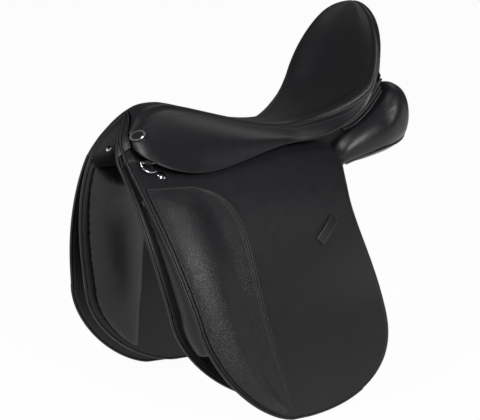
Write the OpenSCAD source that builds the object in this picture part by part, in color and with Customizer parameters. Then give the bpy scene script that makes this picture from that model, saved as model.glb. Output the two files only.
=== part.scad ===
// Dressage saddle, as a tree with seat, panels, skirts and flaps that lift.
// X points to the horse's head, Y to the rider's left and Z up, in millimetres.
// The left side is drawn; the right side is its mirror image.

/* [Seat] */
// Front edge of the pommel on the centre line
pommel_x = 200; // [194:1:206]
// Top of the pommel
pommel_z = 125; // [121:1:129]
// Deepest point of the seat
seat_z = 87; // [84:1:90]
// Top of the cantle, behind the origin
cantle_x = 213; // [205:1:221]
// Height of the cantle's top
cantle_z = 268; // [255:1:280]
// Half width of the seat at the cantle's widest point
cantle_half_w = 116; // [110:1:122]
// Thickness of the seat leather
cover_t = 3; // [2:0.5:3.5]
// Thickness of the seat foam at its middle
foam_t = 14; // [10:1:16]
// Thickness of the strain web
web_t = 2; // [1.5:0.5:3]
// Thickness of the tree frame
tree_t = 9; // [7:0.5:10]
// Thickness of the leather behind the cantle
back_t = 3; // [2:0.5:4]

/* [Skirts] */
// Thickness of the skirt leather
skirt_t = 4; // [3:0.5:4.5]
// Height of the line that the skirt folds on, at its front
skirt_fold_z = 76; // [75:0.5:77]
// Half width of the saddle at the front of that line
skirt_fold_y = 57; // [56:0.5:60]
// Lowest point of the skirt's edge
skirt_low_z = 29; // [26:1:36]

/* [Flaps] */
// Thickness of the flap leather
flap_t = 5; // [4:0.5:6]
// Depth of the flap's lowest point below the origin
flap_drop = 333; // [320:1:345]
// Half width of the saddle at the foot of the flaps
flap_spread = 222; // [210:1:234]
// Front edge of the flap at its top
flap_front = 234; // [230:1:238]
// Rearmost point of the flap, behind the origin
flap_rear = 150; // [140:1:160]
// Height of the line that the flap folds on
flap_fold_z = 18; // [16:0.5:20]
// Height of the flap's sewn top edge
flap_top_z = 46; // [43:0.5:47]
// Outward slant of the flank from front to rear
splay = 40; // [34:1:44]
// Diameter of the edge piping
piping_d = 5; // [4:0.5:6]

/* [Sweat flaps] */
// Thickness of the sweat flap
sweat_t = 4; // [3:0.5:5]
// Depth of the sweat flap's lowest point
sweat_drop = 314; // [300:1:325]
// Half width at the foot of the sweat flaps
sweat_spread = 148; // [140:1:154]
// Front edge of the sweat flap at its top
sweat_front = 240; // [236:1:244]
// Rear edge of the sweat flap, behind the origin
sweat_rear = 96; // [90:1:98]

/* [Knee support] */
// Thickness of the grained patch on the flap
patch_t = 2.5; // [1.5:0.5:4]
// Height of the patch's padded ridge
patch_ridge = 8; // [4:1:12]
// Room left between the knee block and the flap
block_room = 4; // [3:0.5:8]
// Length of the leather keeper on the flap
keeper_l = 50; // [40:1:58]
// Width of the leather keeper
keeper_w = 15; // [12:1:20]

/* [Panels] */
// Thickness of a panel at its sewn edges
panel_edge_t = 8; // [6:0.5:10]
// Extra thickness in the middle of a panel
panel_crown = 15; // [10:1:20]
// Extra thickness in the middle of the lower pad
pad_crown = 12; // [6:1:16]
// Rear end of the panels, behind the origin
panel_rear = 244; // [238:1:250]
// Thickness of the lining between the panels
lining_t = 3; // [2:0.5:4]

/* [Girthing] */
// Width of a girth strap
billet_w = 25; // [20:1:30]
// Thickness of a girth strap
billet_t = 3.5; // [3:0.5:4.5]
// Length of a girth strap below its pivot
billet_l = 330; // [300:1:345]
// Diameter of the buckle holes
billet_hole_d = 5; // [4:0.5:6]

/* [Metal fittings] */
// Diameter of the stirrup bar
bar_d = 7.5; // [6.5:0.5:8.5]
// Length of the stirrup bar
bar_l = 58; // [50:1:62]
// Room between the stirrup bar and its plate
bar_room = 6; // [5:0.5:6.5]
// Diameter of the pin in the bar's catch
catch_pin_d = 3; // [2.5:0.5:4]
// Width of a dee ring between its wires
dee_w = 24; // [20:1:28]
// Diameter of the dee ring's wire
dee_wire = 3.5; // [3:0.25:4]
// Length of the oval nail plate
nail_l = 25; // [20:1:28]
// Width of the oval nail plate
nail_w = 18; // [14:1:20]
// Diameter of the domed stud on a flap
stud_d = 13; // [10:0.5:15]
// Diameter of the domed stud inside the arch
arch_stud_d = 10.5; // [8:0.5:12]

/* [Fits] */
// Room between layers that lie on each other
gap = 0.4; // [0.3:0.1:0.6]
// Room between the two sides of a flap's fold
fold_gap = 0.45; // [0.4:0.05:1]
// Room between the two sides of a skirt's fold
skirt_fold_gap = 1; // [0.9:0.1:1.4]
// Room around a turning pin
pin_gap = 0.32; // [0.3:0.02:0.4]

/* [Hidden] */
$fn = 32;

leather = [0.05, 0.05, 0.055];
soft_leather = [0.08, 0.08, 0.085];
steel = [0.8, 0.81, 0.83];
wood = [0.6, 0.45, 0.3];
cloth = [0.25, 0.25, 0.25];
foam = [0.85, 0.82, 0.7];

// Curves and small sums
function lerp(a, b, t) = a + (b - a)*t;
function clamp(t) = min(max(t, 0), 1);
function ease(t) = let (k = clamp(t)) k*k*(3 - 2*k);
function unit(v) = v/norm(v);
function bez(p, t) = let (s = 1 - t) s*s*s*p[0] + 3*s*s*t*p[1] + 3*s*t*t*p[2] + t*t*t*p[3];
function heading(p, t) = let (s = 1 - t)
    unit(s*s*(p[1] - p[0]) + 2*s*t*(p[2] - p[1]) + t*t*(p[3] - p[2]));
function t_at(p, z, lo = 0, hi = 1, n = 18) = let (m = (lo + hi)/2)
    n == 0 ? m : bez(p, m)[1] > z ? t_at(p, z, m, hi, n - 1) : t_at(p, z, lo, m, n - 1);
function across(p, z) = bez(p, t_at(p, z))[0];
// Quarter of a rounded corner: 1 at t = 0, falling to 0 at t = 1
function corner(t, e) = pow(1 - pow(clamp(t), e), 1/e);
function swell(t) = pow(max(sin(180*t), 0), 0.6);
// Value at u of a short list of evenly spaced stations, through smooth curves
function station(p, u) = let (n = len(p) - 1, s = clamp(u)*n, i = min(floor(s), n - 1), t = s - i,
    a = p[max(i - 1, 0)], b = p[i], c = p[i + 1], d = p[min(i + 2, n)])
    0.5*(2*b + (c - a)*t + (2*a - 5*b + 4*c - d)*t*t + (3*b - a - 3*c + d)*t*t*t);

// Grids of points, and the solids between them
function grid(n, m, f) = [for (i = [0:n]) [for (j = [0:m]) f(i/n, j/m)]];
function face_out(g, i, j) = let (n = len(g) - 1, m = len(g[0]) - 1)
    unit(cross(g[min(i + 1, n)][j] - g[max(i - 1, 0)][j], g[i][min(j + 1, m)] - g[i][max(j - 1, 0)]));
function inset(g, f) = let (n = len(g) - 1, m = len(g[0]) - 1)
    [for (i = [0:n]) [for (j = [0:m]) g[i][j] - face_out(g, i, j)*f(i/n, j/m)]];
function quad(a, b, c, d) = [[a, b, c], [a, c, d]];

module sheet(a, b) {
    n = len(a);
    m = len(a[0]);
    k = n*m;
    function at(i, j) = i*m + j;
    polyhedron(
        points = [for (g = [a, b]) for (row = g) for (p = row) p],
        faces = [
            for (i = [0:n - 2]) for (j = [0:m - 2]) for (q = concat(
                quad(at(i, j), at(i, j + 1), at(i + 1, j + 1), at(i + 1, j)),
                quad(k + at(i, j), k + at(i + 1, j), k + at(i + 1, j + 1), k + at(i, j + 1)))) q,
            for (j = [0:m - 2]) for (q = concat(
                quad(at(0, j + 1), at(0, j), k + at(0, j), k + at(0, j + 1)),
                quad(at(n - 1, j), at(n - 1, j + 1), k + at(n - 1, j + 1), k + at(n - 1, j)))) q,
            for (i = [0:n - 2]) for (q = concat(
                quad(at(i, 0), at(i + 1, 0), k + at(i + 1, 0), k + at(i, 0)),
                quad(at(i + 1, m - 1), at(i, m - 1), k + at(i, m - 1), k + at(i + 1, m - 1)))) q]);
}

// Solid through a row of loops, closed at both ends
module loft(loops) {
    n = len(loops);
    m = len(loops[0]);
    function mid(l) = l*[for (p = l) 1]/len(l);
    polyhedron(
        points = concat([for (l = loops) for (p = l) p],
            [for (l = [loops[0], loops[n - 1]]) [for (k = [0:2]) mid([for (p = l) p[k]])]]),
        faces = [
            for (i = [0:n - 2]) for (j = [0:m - 1]) for (q = quad(
                i*m + j, (i + 1)*m + j, (i + 1)*m + (j + 1)%m, i*m + (j + 1)%m)) q,
            for (j = [0:m - 1]) [n*m, j, (j + 1)%m],
            for (j = [0:m - 1]) [n*m + 1, (n - 1)*m + (j + 1)%m, (n - 1)*m + j]]);
}

// Round cord along a path
module cord(path, r, up, sides = 6) {
    n = len(path) - 1;
    loft([for (i = [0:n]) let (
        t = unit(path[min(i + 1, n)] - path[max(i - 1, 0)]),
        s = unit(cross(up, t)), w = cross(t, s))
        [for (k = [0:sides - 1]) let (a = 360*k/sides) path[i] + r*(cos(a)*s + sin(a)*w)]]);
}

// Puts a fitting on a surface: x forward along it, z out of it
module on_face(p, x, z) {
    y = unit(cross(z, x));
    q = unit(cross(y, z));
    multmatrix([[q[0], y[0], z[0], p[0]], [q[1], y[1], z[1], p[1]], [q[2], y[2], z[2], p[2]], [0, 0, 0, 1]])
        children();
}

// Flanks: two profiles in the Y-Z plane, slanted outwards towards the rear
flank_x0 = 215;
flank_len = 350;
splay_foot = 200;
flap_twist = 20;
flap_curve = [[45, 63], [130, -22], [flap_spread - 14, -0.45*flap_drop], [flap_spread, 3 - flap_drop]];
sweat_curve = [[28, 61], [122, -30], [sweat_spread - 20, -0.53*sweat_drop], [sweat_spread, -sweat_drop]];
function slant(x, z, foot) = (flank_x0 - x)/flank_len*lerp(foot, splay, ease((z + splay_foot)/splay_foot));
function flank(p, foot, x, z, d) = let (t = t_at(p, z), q = bez(p, t), h = heading(p, t))
    [x, q[0] - h[1]*d + slant(x, z, foot), q[1] + h[0]*d];
function flap(x, z, d) = flank(flap_curve, -flap_twist, x, z, d);
function sweat(x, z, d) = flank(sweat_curve, 0, x, z, d);
along = unit([1, -splay/flank_len, 0]);
function flap_normal(x, z) = unit(flap(x, z, 1) - flap(x, z, 0));
function sweat_normal(x, z) = unit(sweat(x, z, 1) - sweat(x, z, 0));

// Outline of the flap
flap_foot_z = 3 - flap_drop;
flap_low_x = 40;
flap_turn_z = -176;
flap_turn_x = flap_front - 39;
waist_z = -25;
waist_x = -98;
rear_turn_z = -210;
function flap_fx(z) = z > flap_turn_z
    ? lerp(flap_turn_x, flap_front, 1 - pow((flap_top_z - z)/(flap_top_z - flap_turn_z), 1.3))
    : lerp(flap_low_x, flap_turn_x, corner((flap_turn_z - z)/(flap_turn_z - flap_foot_z), 1.6));
function flap_rx(z) = z > waist_z ? waist_x - 13*pow((z - waist_z)/57, 1.5)
    : z > rear_turn_z ? lerp(waist_x, -flap_rear, ease((waist_z - z)/(waist_z - rear_turn_z)))
    : lerp(flap_low_x, -flap_rear, corner((rear_turn_z - z)/(rear_turn_z - flap_foot_z), 2.3));
function down(top, foot, r) = lerp(foot, top, pow(1 - 0.99*r, 1.4));

// Outline of the sweat flap
sweat_top_z = 58;
sweat_turn_z = -175;
sweat_turn_x = sweat_front - 37;
sweat_low_x = 25;
sweat_rear_turn_z = -225;
function sweat_fx(z) = z > sweat_turn_z
    ? lerp(sweat_turn_x, sweat_front, 1 - pow((sweat_top_z - z)/(sweat_top_z - sweat_turn_z), 1.5))
    : lerp(sweat_low_x, sweat_turn_x, corner((sweat_turn_z - z)/(sweat_turn_z + sweat_drop), 1.7));
function sweat_rx(z) = z > sweat_rear_turn_z ? -sweat_rear
    : lerp(sweat_low_x, -sweat_rear, corner((sweat_rear_turn_z - z)/(sweat_rear_turn_z + sweat_drop), 2.3));

// Seat: a centre line and a seam, each in four curves from pommel to cantle
crest_half_w = 19;
pommel_round = 9;
hip_half_w = 50;
rim_x = 45 - cantle_x;
rim_z = 143;
mids = [
    [[pommel_x, 0, pommel_z - 10], [pommel_x - 8, 0, pommel_z - 2],
        [pommel_x - 28, 0, pommel_z + 1], [pommel_x - 50, 0, pommel_z]],
    [[pommel_x - 50, 0, pommel_z], [pommel_x - 105, 0, pommel_z - 8], [35, 0, seat_z], [-50, 0, seat_z]],
    [[-50, 0, seat_z], [-100, 0, seat_z], [rim_x + 18, 0, rim_z - 39], [rim_x - 6, 0, rim_z - 7]],
    [[rim_x - 6, 0, rim_z - 7], [rim_x - 28, 0, rim_z + 22],
        [2 - cantle_x, 0, cantle_z - 53], [-cantle_x, 0, cantle_z - 2]]];
seams = [
    [[pommel_x + 17, 29, pommel_z - 40], [pommel_x, 34, pommel_z - 24],
        [pommel_x - 22, 22, pommel_z - 8], [pommel_x - 60, crest_half_w, pommel_z - 8]],
    [[pommel_x - 60, crest_half_w, pommel_z - 8], [pommel_x - 110, crest_half_w, pommel_z - 13],
        [0, 42, seat_z - 7], [-60, hip_half_w, seat_z - 5]],
    [[-60, hip_half_w, seat_z - 5], [-90, hip_half_w + 6, seat_z - 4],
        [rim_x + 18, cantle_half_w - 4, rim_z - 31], [rim_x, cantle_half_w, rim_z]]];
function mid_line(u) = let (k = min(floor(4*u), 3), t = 4*u - k)
    bez(mids[k], k == 3 ? 1 - (1 - t)*(1 - t) : t);
function seam(u) = let (k = min(floor(4*u), 3), t = 4*u - k)
    k < 3 ? bez(seams[k], t)
    : [lerp(rim_x, 1 - cantle_x, sin(90*t)), cantle_half_w*cos(90*t), lerp(rim_z, cantle_z, sin(90*t))];
function seat(u, v, depth) = let (a = abs(v), c = mid_line(u), s = seam(u),
    h = [c[0], 0.6*s[1], c[2] - pommel_round*pow(max(0, 1 - 6*u), 2)],
    p = (1 - a)*(1 - a)*c + 2*a*(1 - a)*h + a*a*s, tip = 65*ease(2*u - 1))
    [p[0] - sin(tip)*depth, sign(v)*p[1], p[2] - cos(tip)*depth];
function foam_at(u) = foam_t*(0.3 + 0.7*sin(180*u));
function web_depth(u) = cover_t + 2*gap + foam_at(u);
function tree_depth(u) = web_depth(u) + web_t + 7*gap;

// Skirt: from the seam, over the fold line, to the lower edge
edges = [
    [[220, 47, 65], [212, 98, 44], [165, 98, skirt_low_z], [127, 98, skirt_low_z]],
    [[127, 98, skirt_low_z], [75, 98, skirt_low_z], [10, 95, 61], [-50, 99, 65]],
    [[-50, 99, 65], [-105, 106, 71], [-145, 124, 92], [rim_x - 22, cantle_half_w - 2, rim_z + 9]]];
skirt_split = 0.65;
skirt_fold_ends = [[229, skirt_fold_y, skirt_fold_z], [-50, skirt_fold_y + 36, skirt_fold_z - 6]];
welt_r = 2;
welt_sink = 1.5;
welt_out = welt_r + 2.4;
seam_room = welt_out + welt_r + 2.4;
function hem(w) = let (k = min(floor(3*w), 2)) bez(edges[k], 3*w - k);
function fold_at(x) = let (e = skirt_fold_ends) lerp(e[0], e[1], (x - e[0][0])/(e[1][0] - e[0][0]));
// In front of the part that lifts, the fold tucks in to the pommel
fold_tuck = 18;
function fold(w) = fold_at(lerp(seam(0.75*w)[0], hem(w)[0], 0.5))
    - [0, fold_tuck*pow(max(0, 1 - w/skirt_start), 1.5), 0];
function seam_edge(w, d) = let (s = seam(0.75*w), e = w < 2/3 ? fold(w) : hem(w)) s + unit(e - s)*d;
function bow(a, h, b, t) = (1 - t)*(1 - t)*a + 2*t*(1 - t)*h + t*t*b;
// r runs from 0 at the seam through 1 at the fold to 2 at the lower edge
function skirt(w, r) = let (e = hem(w), k = fold(w),
    s = seam_edge(w, min(seam_room, 0.6*norm(e - seam(0.75*w)))), d = unit(e - s))
    w > 2/3 ? bow(s, (s + e)/2 + [0, 2, 2], e, r/2)
    : r < 1 ? bow(s, k - d*norm(k - s)/2, k, r)
    : bow(k, k + d*norm(e - k)/2, e, r - 1);
fold_axis = unit(skirt_fold_ends[0] - skirt_fold_ends[1]);

module tree() {
    n = 54;
    function wave(c) = sign(c)*pow(abs(c), 0.75);
    // w runs from 0 on the frame's outer edge to 1 on its inner edge
    function spot(a, w, low) = let (u = 0.51 + lerp(0.34, 0.25, w)*wave(cos(a)),
        v = lerp(0.72, 0.4, w)*wave(sin(a)))
        seat(u, v, tree_depth(u) + low*tree_t);
    color(wood) polyhedron(
        points = [for (k = [0:n - 1]) let (a = 360*(k + 0.5)/n)
            each concat([for (w = [0, 0.5, 1]) spot(a, w, 0)], [for (w = [1, 0.5, 0]) spot(a, w, 1)])],
        faces = [for (k = [0:n - 1]) for (j = [0:5]) let (p = 6*k, q = 6*((k + 1)%n), i = (j + 1)%6)
            each quad(p + j, q + j, q + i, p + i)]);
}

gullet_front = pommel_x - 18;
gullet_w = 30;
gullet_t = 4;
crown_z = pommel_z - 33.3;
arm_foot_z = 6;
module gullet_plate() {
    crown = [[0, crown_z], [16, crown_z], [30, crown_z - 13.7], [39, sweat_top_z + 8]];
    function arm(t, d) = t < 0.5
        ? let (q = bez(crown, 2*t), h = heading(crown, 2*t)) [q[0] - h[1]*d, q[1] + h[0]*d]
        : let (z = lerp(sweat_top_z - 1, arm_foot_z, 2*t - 1), p = sweat(gullet_front - gullet_w, z, 2 + d))
            [p[1], p[2]];
    half_arch = [for (i = [0:16]) i/16];
    color(steel) translate([gullet_front, 0, 0]) rotate([0, -90, 0])
    linear_extrude(gullet_w) polygon(concat(
        [for (t = half_arch) let (p = arm(t, 0)) [p[1], p[0]]],
        [for (i = [16:-1:0]) let (p = arm(i/16, gullet_t)) [p[1], p[0]]],
        [for (t = half_arch) if (t > 0) let (p = arm(t, gullet_t)) [p[1], -p[0]]],
        [for (i = [16:-1:1]) let (p = arm(i/16, 0)) [p[1], -p[0]]]));
}

point_t = 4;
flank_room = 1.5;
point_w = 60;
point_front = gullet_front - gullet_w - gap;
module tree_point() {
    a = grid(5, 4, function (r, c) let (z = lerp(sweat_top_z + 1, arm_foot_z, r))
        sweat(lerp(point_front, point_front - lerp(point_w, 0.4*point_w, r), c), z, flank_room + point_t));
    sheet(a, inset(a, function (r, c) point_t));
}
module tree_points() {
    color(wood) { tree_point(); mirror([0, 1, 0]) tree_point(); }
}

// The seat's layers share rows and columns, so that they follow each other closely
seat_rows = 32;
seat_cols = 12;
function seat_layer(first, last, side, depth) = let (n = last - first, m = seat_cols - 2*side)
    grid(n, m, function (r, c) let (u = 0.995*(first + n*r)/seat_rows, v = 1 - 2*(side + m*c)/seat_cols)
        seat(u, v, depth(u, c)));
module seat_web() {
    color(cloth) sheet(seat_layer(7, 26, 3, function (u, c) web_depth(u)),
        seat_layer(7, 26, 3, function (u, c) web_depth(u) + web_t));
}

module seat_foam() {
    color(foam) sheet(seat_layer(4, 29, 1, function (u, c) cover_t + gap),
        seat_layer(4, 29, 1, function (u, c) cover_t + gap + foam_at(u)*(0.35 + 0.65*swell(c))));
}

module seat_cover() {
    color(leather) sheet(seat_layer(0, seat_rows, 0, function (u, c) 0),
        seat_layer(0, seat_rows, 0, function (u, c) cover_t));
}

back_bulge = 6;
back_drop = 28;
module cantle_back() {
    function rear_rim(a) = [lerp(rim_x, 1 - cantle_x, sin(a)) - 6.6, (cantle_half_w - 7)*cos(a),
        lerp(rim_z, cantle_z - 9, sin(a))];
    function foot(a) = [lerp(rim_x, -cantle_x, sin(a)) - 12, (cantle_half_w - 20)*cos(a),
        rim_z + 4*sin(a) - back_drop*pow(sin(a), 3)];
    a = grid(8, 14, function (r, c) let (t = lerp(168, 12, c))
        lerp(rear_rim(t), foot(t), r) - [back_bulge*sin(180*r)*sin(t) + 2*r, 0, 0]);
    color(leather) sheet(a, inset(a, function (r, c) back_t));
}

// The arch's front edge, from the left side over the top to the right, and the edge behind it
arch = [[sweat_front, 39, 48], [sweat_front - 4, 27, 66], [pommel_x + 18, 14, pommel_z - 30],
    [pommel_x + 2, 0, pommel_z - 17]];
arch_room = 3;
stud_room = 0.7;
arch_rear = gullet_front + 2;
arch_back = [for (p = [[44, 52], [36, 68], [18, crown_z - 4], [0, crown_z - 4]]) [arch_rear, p[0], p[1]]];
// Both halves of a curve that runs from the left side up to the middle
function over(t, f) = t < 0.5 ? f(2*t) : let (p = f(2 - 2*t)) [p[0], -p[1], p[2]];
function arch_skin(t, c) = lerp(bez(arch, t) - [arch_room, 0, 0], bez(arch_back, t), c);
module arch_facing() {
    a = grid(18, 3, function (r, c) over(lerp(-0.02, 1.02, r), function (t) arch_skin(t, c)));
    color(leather) sheet(a, inset(a, function (r, c) lining_t));
}

// Leather that closes the front, between the arch and the edges of skirt and seat
brow_turn = 0.35;
brow_out = unit([0.9, 0, 0.35]);
brow_room = 0.9;
brow_t = 2.2;
function brow(t) = t < brow_turn ? skirt(0, 2 - 2*t/brow_turn) : seat(0, (1 - t)/(1 - brow_turn), 0);
module pommel_facing() {
    function spot(r, c, d) = over(lerp(0.02, 0.98, r), function (t)
        lerp(brow(t) - [0, 0, 1], bez(arch, t), c) + brow_out*(brow_room + d));
    color(leather) sheet(grid(24, 3, function (r, c) spot(r, c, brow_t)),
        grid(24, 3, function (r, c) spot(r, c, 0)));
}

lining_rise = 8;
lining_ends = [176, -238];
lining_tail = [[37, 46], [40.5, 72]];
module gullet_lining() {
    function side(x) = let (p = sweat(x, panel_top_z, -panel_depth - panel_edge_t),
        tail = lerp(lining_tail[0], lining_tail[1], clamp((panel_join - x)/(panel_join - lining_ends[1]))))
        lerp([p[1], p[2] + lining_t], tail, ease((panel_join + 20 - x)/20));
    a = grid(20, 6, function (r, c)
        let (x = lerp(lining_ends[0], lining_ends[1], r), e = side(x), s = 1 - 2*c)
        [x, e[0]*s, e[1] + lining_rise*(1 - s*s)]);
    color(soft_leather) sheet(a, inset(a, function (r, c) lining_t));
}

module seat_welt() {
    path = [for (i = [0:30]) seam_edge(lerp(0.01, 0.94, i/30), welt_out) - [0, 0, welt_sink]];
    color(leather) cord(path, welt_r, [0, 0.5, 1]);
}

// The skirt's front end is nailed down, so the part that lifts starts behind it
skirt_start = 0.13;
skirt_slit = 0.00848;
function short_of_fold(w) = 1 - skirt_fold_gap/2/norm(fold(w) - seam_edge(w, seam_room));
module skirt_band() {
    cols = [for (i = [0:4]) lerp(0, skirt_start - 2*skirt_slit, i/4),
        for (i = [0:12]) lerp(skirt_start - skirt_slit, skirt_split + skirt_slit, i/12),
        for (i = [0:9]) lerp(skirt_split + 2*skirt_slit, 1, i/9)];
    function lifts(w) = w > skirt_start - 1.5*skirt_slit && w < skirt_split + 1.5*skirt_slit;
    a = [for (r = [0:5]) [for (w = cols) skirt(w, r/5*(lifts(w) ? short_of_fold(w) : 2))]];
    color(leather) sheet(a, inset(a, function (r, c) skirt_t));
}

module skirt_lobe() {
    a = grid(5, 14, function (r, c) let (w = lerp(skirt_start, skirt_split, c))
        skirt(w, lerp(1 + skirt_fold_gap/2/norm(hem(w) - fold(w)), 2, r)));
    color(leather) sheet(a, inset(a, function (r, c) skirt_t));
}

module rear_facing() {
    a = grid(4, 10, function (r, c) hem(lerp(0.74, 0.98, c)) + [-2 - 4*r, -6.1 - 8*r, -2 - 11*r]);
    color(leather) sheet(a, inset(a, function (r, c) 2));
}

// The sewn edge rises to the rear, where the skirt is short
flap_rise = 15;
module flap_head() {
    a = grid(4, 12, function (r, c) let (top = flap_top_z + flap_rise*ease((c - 0.4)/0.45),
        z = lerp(top, flap_fold_z + fold_gap/2, r), edge_z = min(z, flap_top_z))
        flap(lerp(flap_fx(edge_z), flap_rx(edge_z), c), z, 0));
    color(leather) sheet(a, inset(a, function (r, c) flap_t));
}

flap_face = grid(20, 9, function (r, c) let (z = down(flap_fold_z - fold_gap/2, flap_foot_z, r))
    flap(lerp(flap_fx(z), flap_rx(z), c), z, 0));
module flap_leaf() {
    color(leather) sheet(flap_face, inset(flap_face, function (r, c) flap_t));
}

// Path round the free edge of a sheet, a set distance outside it
function round_edge(g, depth, out, first, last) = let (n = len(g) - 1, m = len(g[0]) - 1,
    e = concat([for (i = [first:n]) [i, 0]], [for (i = [n:-1:last]) [i, m]]),
    p = [for (k = e) g[k[0]][k[1]] - face_out(g, k[0], k[1])*depth],
    c = lerp(g[0][floor(m/2)], g[n][floor(m/2)], 0.45), q = len(p) - 1)
    [for (k = [0:q]) let (t = unit(p[min(k + 1, q)] - p[max(k - 1, 0)]), v = p[k] - c)
        p[k] + unit(v - t*(v*t))*out];
module flap_piping() {
    color(leather) cord(round_edge(flap_face, flap_t/2, piping_d/2 + gap, 0, 1), piping_d/2, [0, 1, 0.3]);
}

patch_top_z = 8;
patch_room = 0.8;
patch_back = [[178, 10], [35, -4], [133, -76], [38, -331]];
module knee_patch() {
    function spot(r, c, d) = let (z = down(patch_top_z, flap_foot_z + 8, r*(0.35 + 0.65*r)))
        flap(lerp(flap_fx(z) - 5, across(patch_back, z), c), z, d);
    function ridge(r, c) = patch_ridge*pow(sin(180*min(c/0.75, 1)), 2)*ease(6*r)*ease(5*(1 - r));
    color(leather) sheet(grid(16, 10, function (r, c) spot(r, c, patch_room + patch_t + ridge(r, c))),
        grid(16, 10, function (r, c) spot(r, c, patch_room)));
}

keeper_x = -50;
keeper_z = -65;
keeper_turn = 47;
keeper_lift = 5;
keeper_t = 2.5;
module keeper() {
    function spot(r, c, d) = let (s = (c - 0.5)*keeper_l, w = (r - 0.5)*keeper_w,
        x = keeper_x - s*cos(keeper_turn) - w*sin(keeper_turn),
        z = keeper_z + s*sin(keeper_turn) - w*cos(keeper_turn))
        flap(x, z, d + gap + keeper_lift*sin(180*c));
    color(leather) sheet(grid(2, 10, function (r, c) spot(r, c, keeper_t)),
        grid(2, 10, function (r, c) spot(r, c, 0)));
}

module sweat_flap() {
    a = grid(20, 6, function (r, c) let (z = down(sweat_top_z, -sweat_drop, r))
        sweat(lerp(sweat_fx(z), sweat_rx(z), c), z, 0));
    color(leather) sheet(a, inset(a, function (r, c) sweat_t));
}
module sweat_piping() {
    a = grid(20, 4, function (r, c) let (z = down(sweat_top_z, -sweat_drop, r))
        sweat(lerp(sweat_fx(z), sweat_rx(z), c), z, 0));
    color(leather) cord(round_edge(a, sweat_t/2, piping_d/2 + gap, 2, 17), piping_d/2, [0, 1, 0.3]);
}

block_top_z = -6;
block_foot_z = -236;
module knee_block() {
    base = function (r, c) let (z = lerp(block_top_z, block_foot_z, r))
        sweat(lerp(sweat_fx(z) - 5, sweat_front - lerp(75, 122, r), c), z, gap);
    a = grid(10, 6, function (r, c) let (p = base(r, c), q = flap(p[0], p[2], -flap_t))
        [p[0], lerp(p[1], q[1] - block_room, 0.3 + 0.7*swell(c)*swell(r)), p[2]]);
    color(soft_leather) sheet(a, grid(10, 6, base));
}

panel_front = 226;
panel_join = -114;
panel_top_z = 50;
panel_foot_z = -46;
pad_rear = sweat_front - 135;
pad_top_z = 32;
pad_foot_z = -283;
pad_edge_t = 5;
panel_depth = sweat_t + 2*gap;
function panel_low(x) = lerp(panel_foot_z, pad_top_z + 3, ease((x - 60)/(pad_rear - 8 - 60)));
function panel_thick(r, c) = panel_edge_t + panel_crown*swell(r)*pow(swell(lerp(0.02, 0.75, c)), 0.7);
module panel() {
    a = grid(8, 16, function (r, c) let (x = lerp(panel_front, panel_join, c))
        sweat(x, lerp(panel_top_z, panel_low(x), r), -panel_depth));
    color(soft_leather) sheet(a, inset(a, function (r, c) panel_thick(r, c)));
}

module lower_pad() {
    a = grid(12, 6, function (r, c) let (z = lerp(pad_top_z, pad_foot_z, r))
        sweat(lerp(sweat_fx(z) - 8, pad_rear, c), z, -panel_depth));
    color(soft_leather) sheet(a, inset(a, function (r, c) pad_edge_t + pad_crown*swell(c)*swell(r)));
}

// Rear of the panel: rounded sections, each half width, half height, centre and tilt
rear_sections = [[40, 23, 75, 35, -22], [42, 27, 83, 52, -9], [44, 32, 88, 63, 5], [44, 38, 90, 74, 9],
    [45, 45, 88, 87, 5], [41, 43, 87, 93, 1], [31, 33, 86, 95, 0], [6, 7, 85, 93, 0]];
rear_round = 0.92;
module rear_panel() {
    color(soft_leather) loft([for (i = [0:14]) let (u = i/14, q = station(rear_sections, u),
        x = lerp(panel_join - 4, -panel_rear, sin(90*u)))
        [for (k = [0:19]) let (a = -360*k/20, c = q[0]*sign(cos(a))*pow(abs(cos(a)), rear_round),
            s = q[1]*sign(sin(a))*pow(abs(sin(a)), rear_round))
            [x, q[2] + c*cos(q[4]) - s*sin(q[4]), q[3] + c*sin(q[4]) + s*cos(q[4])]]]);
}

// Girth straps hang over the sweat flap, each from a pivot under the skirt
billet_top_z = 40;
billet_front_x = 62;
billet_rear_x = -38;
billet_off = 3;
billet_root = 1.1;
module billet(x0) {
    // The sewn end is doubled, so it lies on the sweat flap
    function line(t, d) = let (low = d == 0 ? billet_root*ease(2 - 14*t) : 0,
        p = sweat(x0, lerp(billet_top_z, billet_top_z - billet_l, t), billet_off + d - low)) [p[2], p[1]];
    color(leather) difference() {
        translate([x0 + billet_w/2, 0, 0]) rotate([0, -90, 0]) linear_extrude(billet_w) polygon(concat(
            [for (i = [0:14]) line(i/14, 0)], [for (i = [14:-1:0]) line(i/14, billet_t)]));
        for (k = [0:6]) let (p = sweat(x0, billet_top_z - billet_l + 30 + 22*k, billet_off))
            translate([x0, p[1], p[2]]) rotate([-90, 0, 0])
                cylinder(d = billet_hole_d, h = 40, center = true);
    }
}

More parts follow.
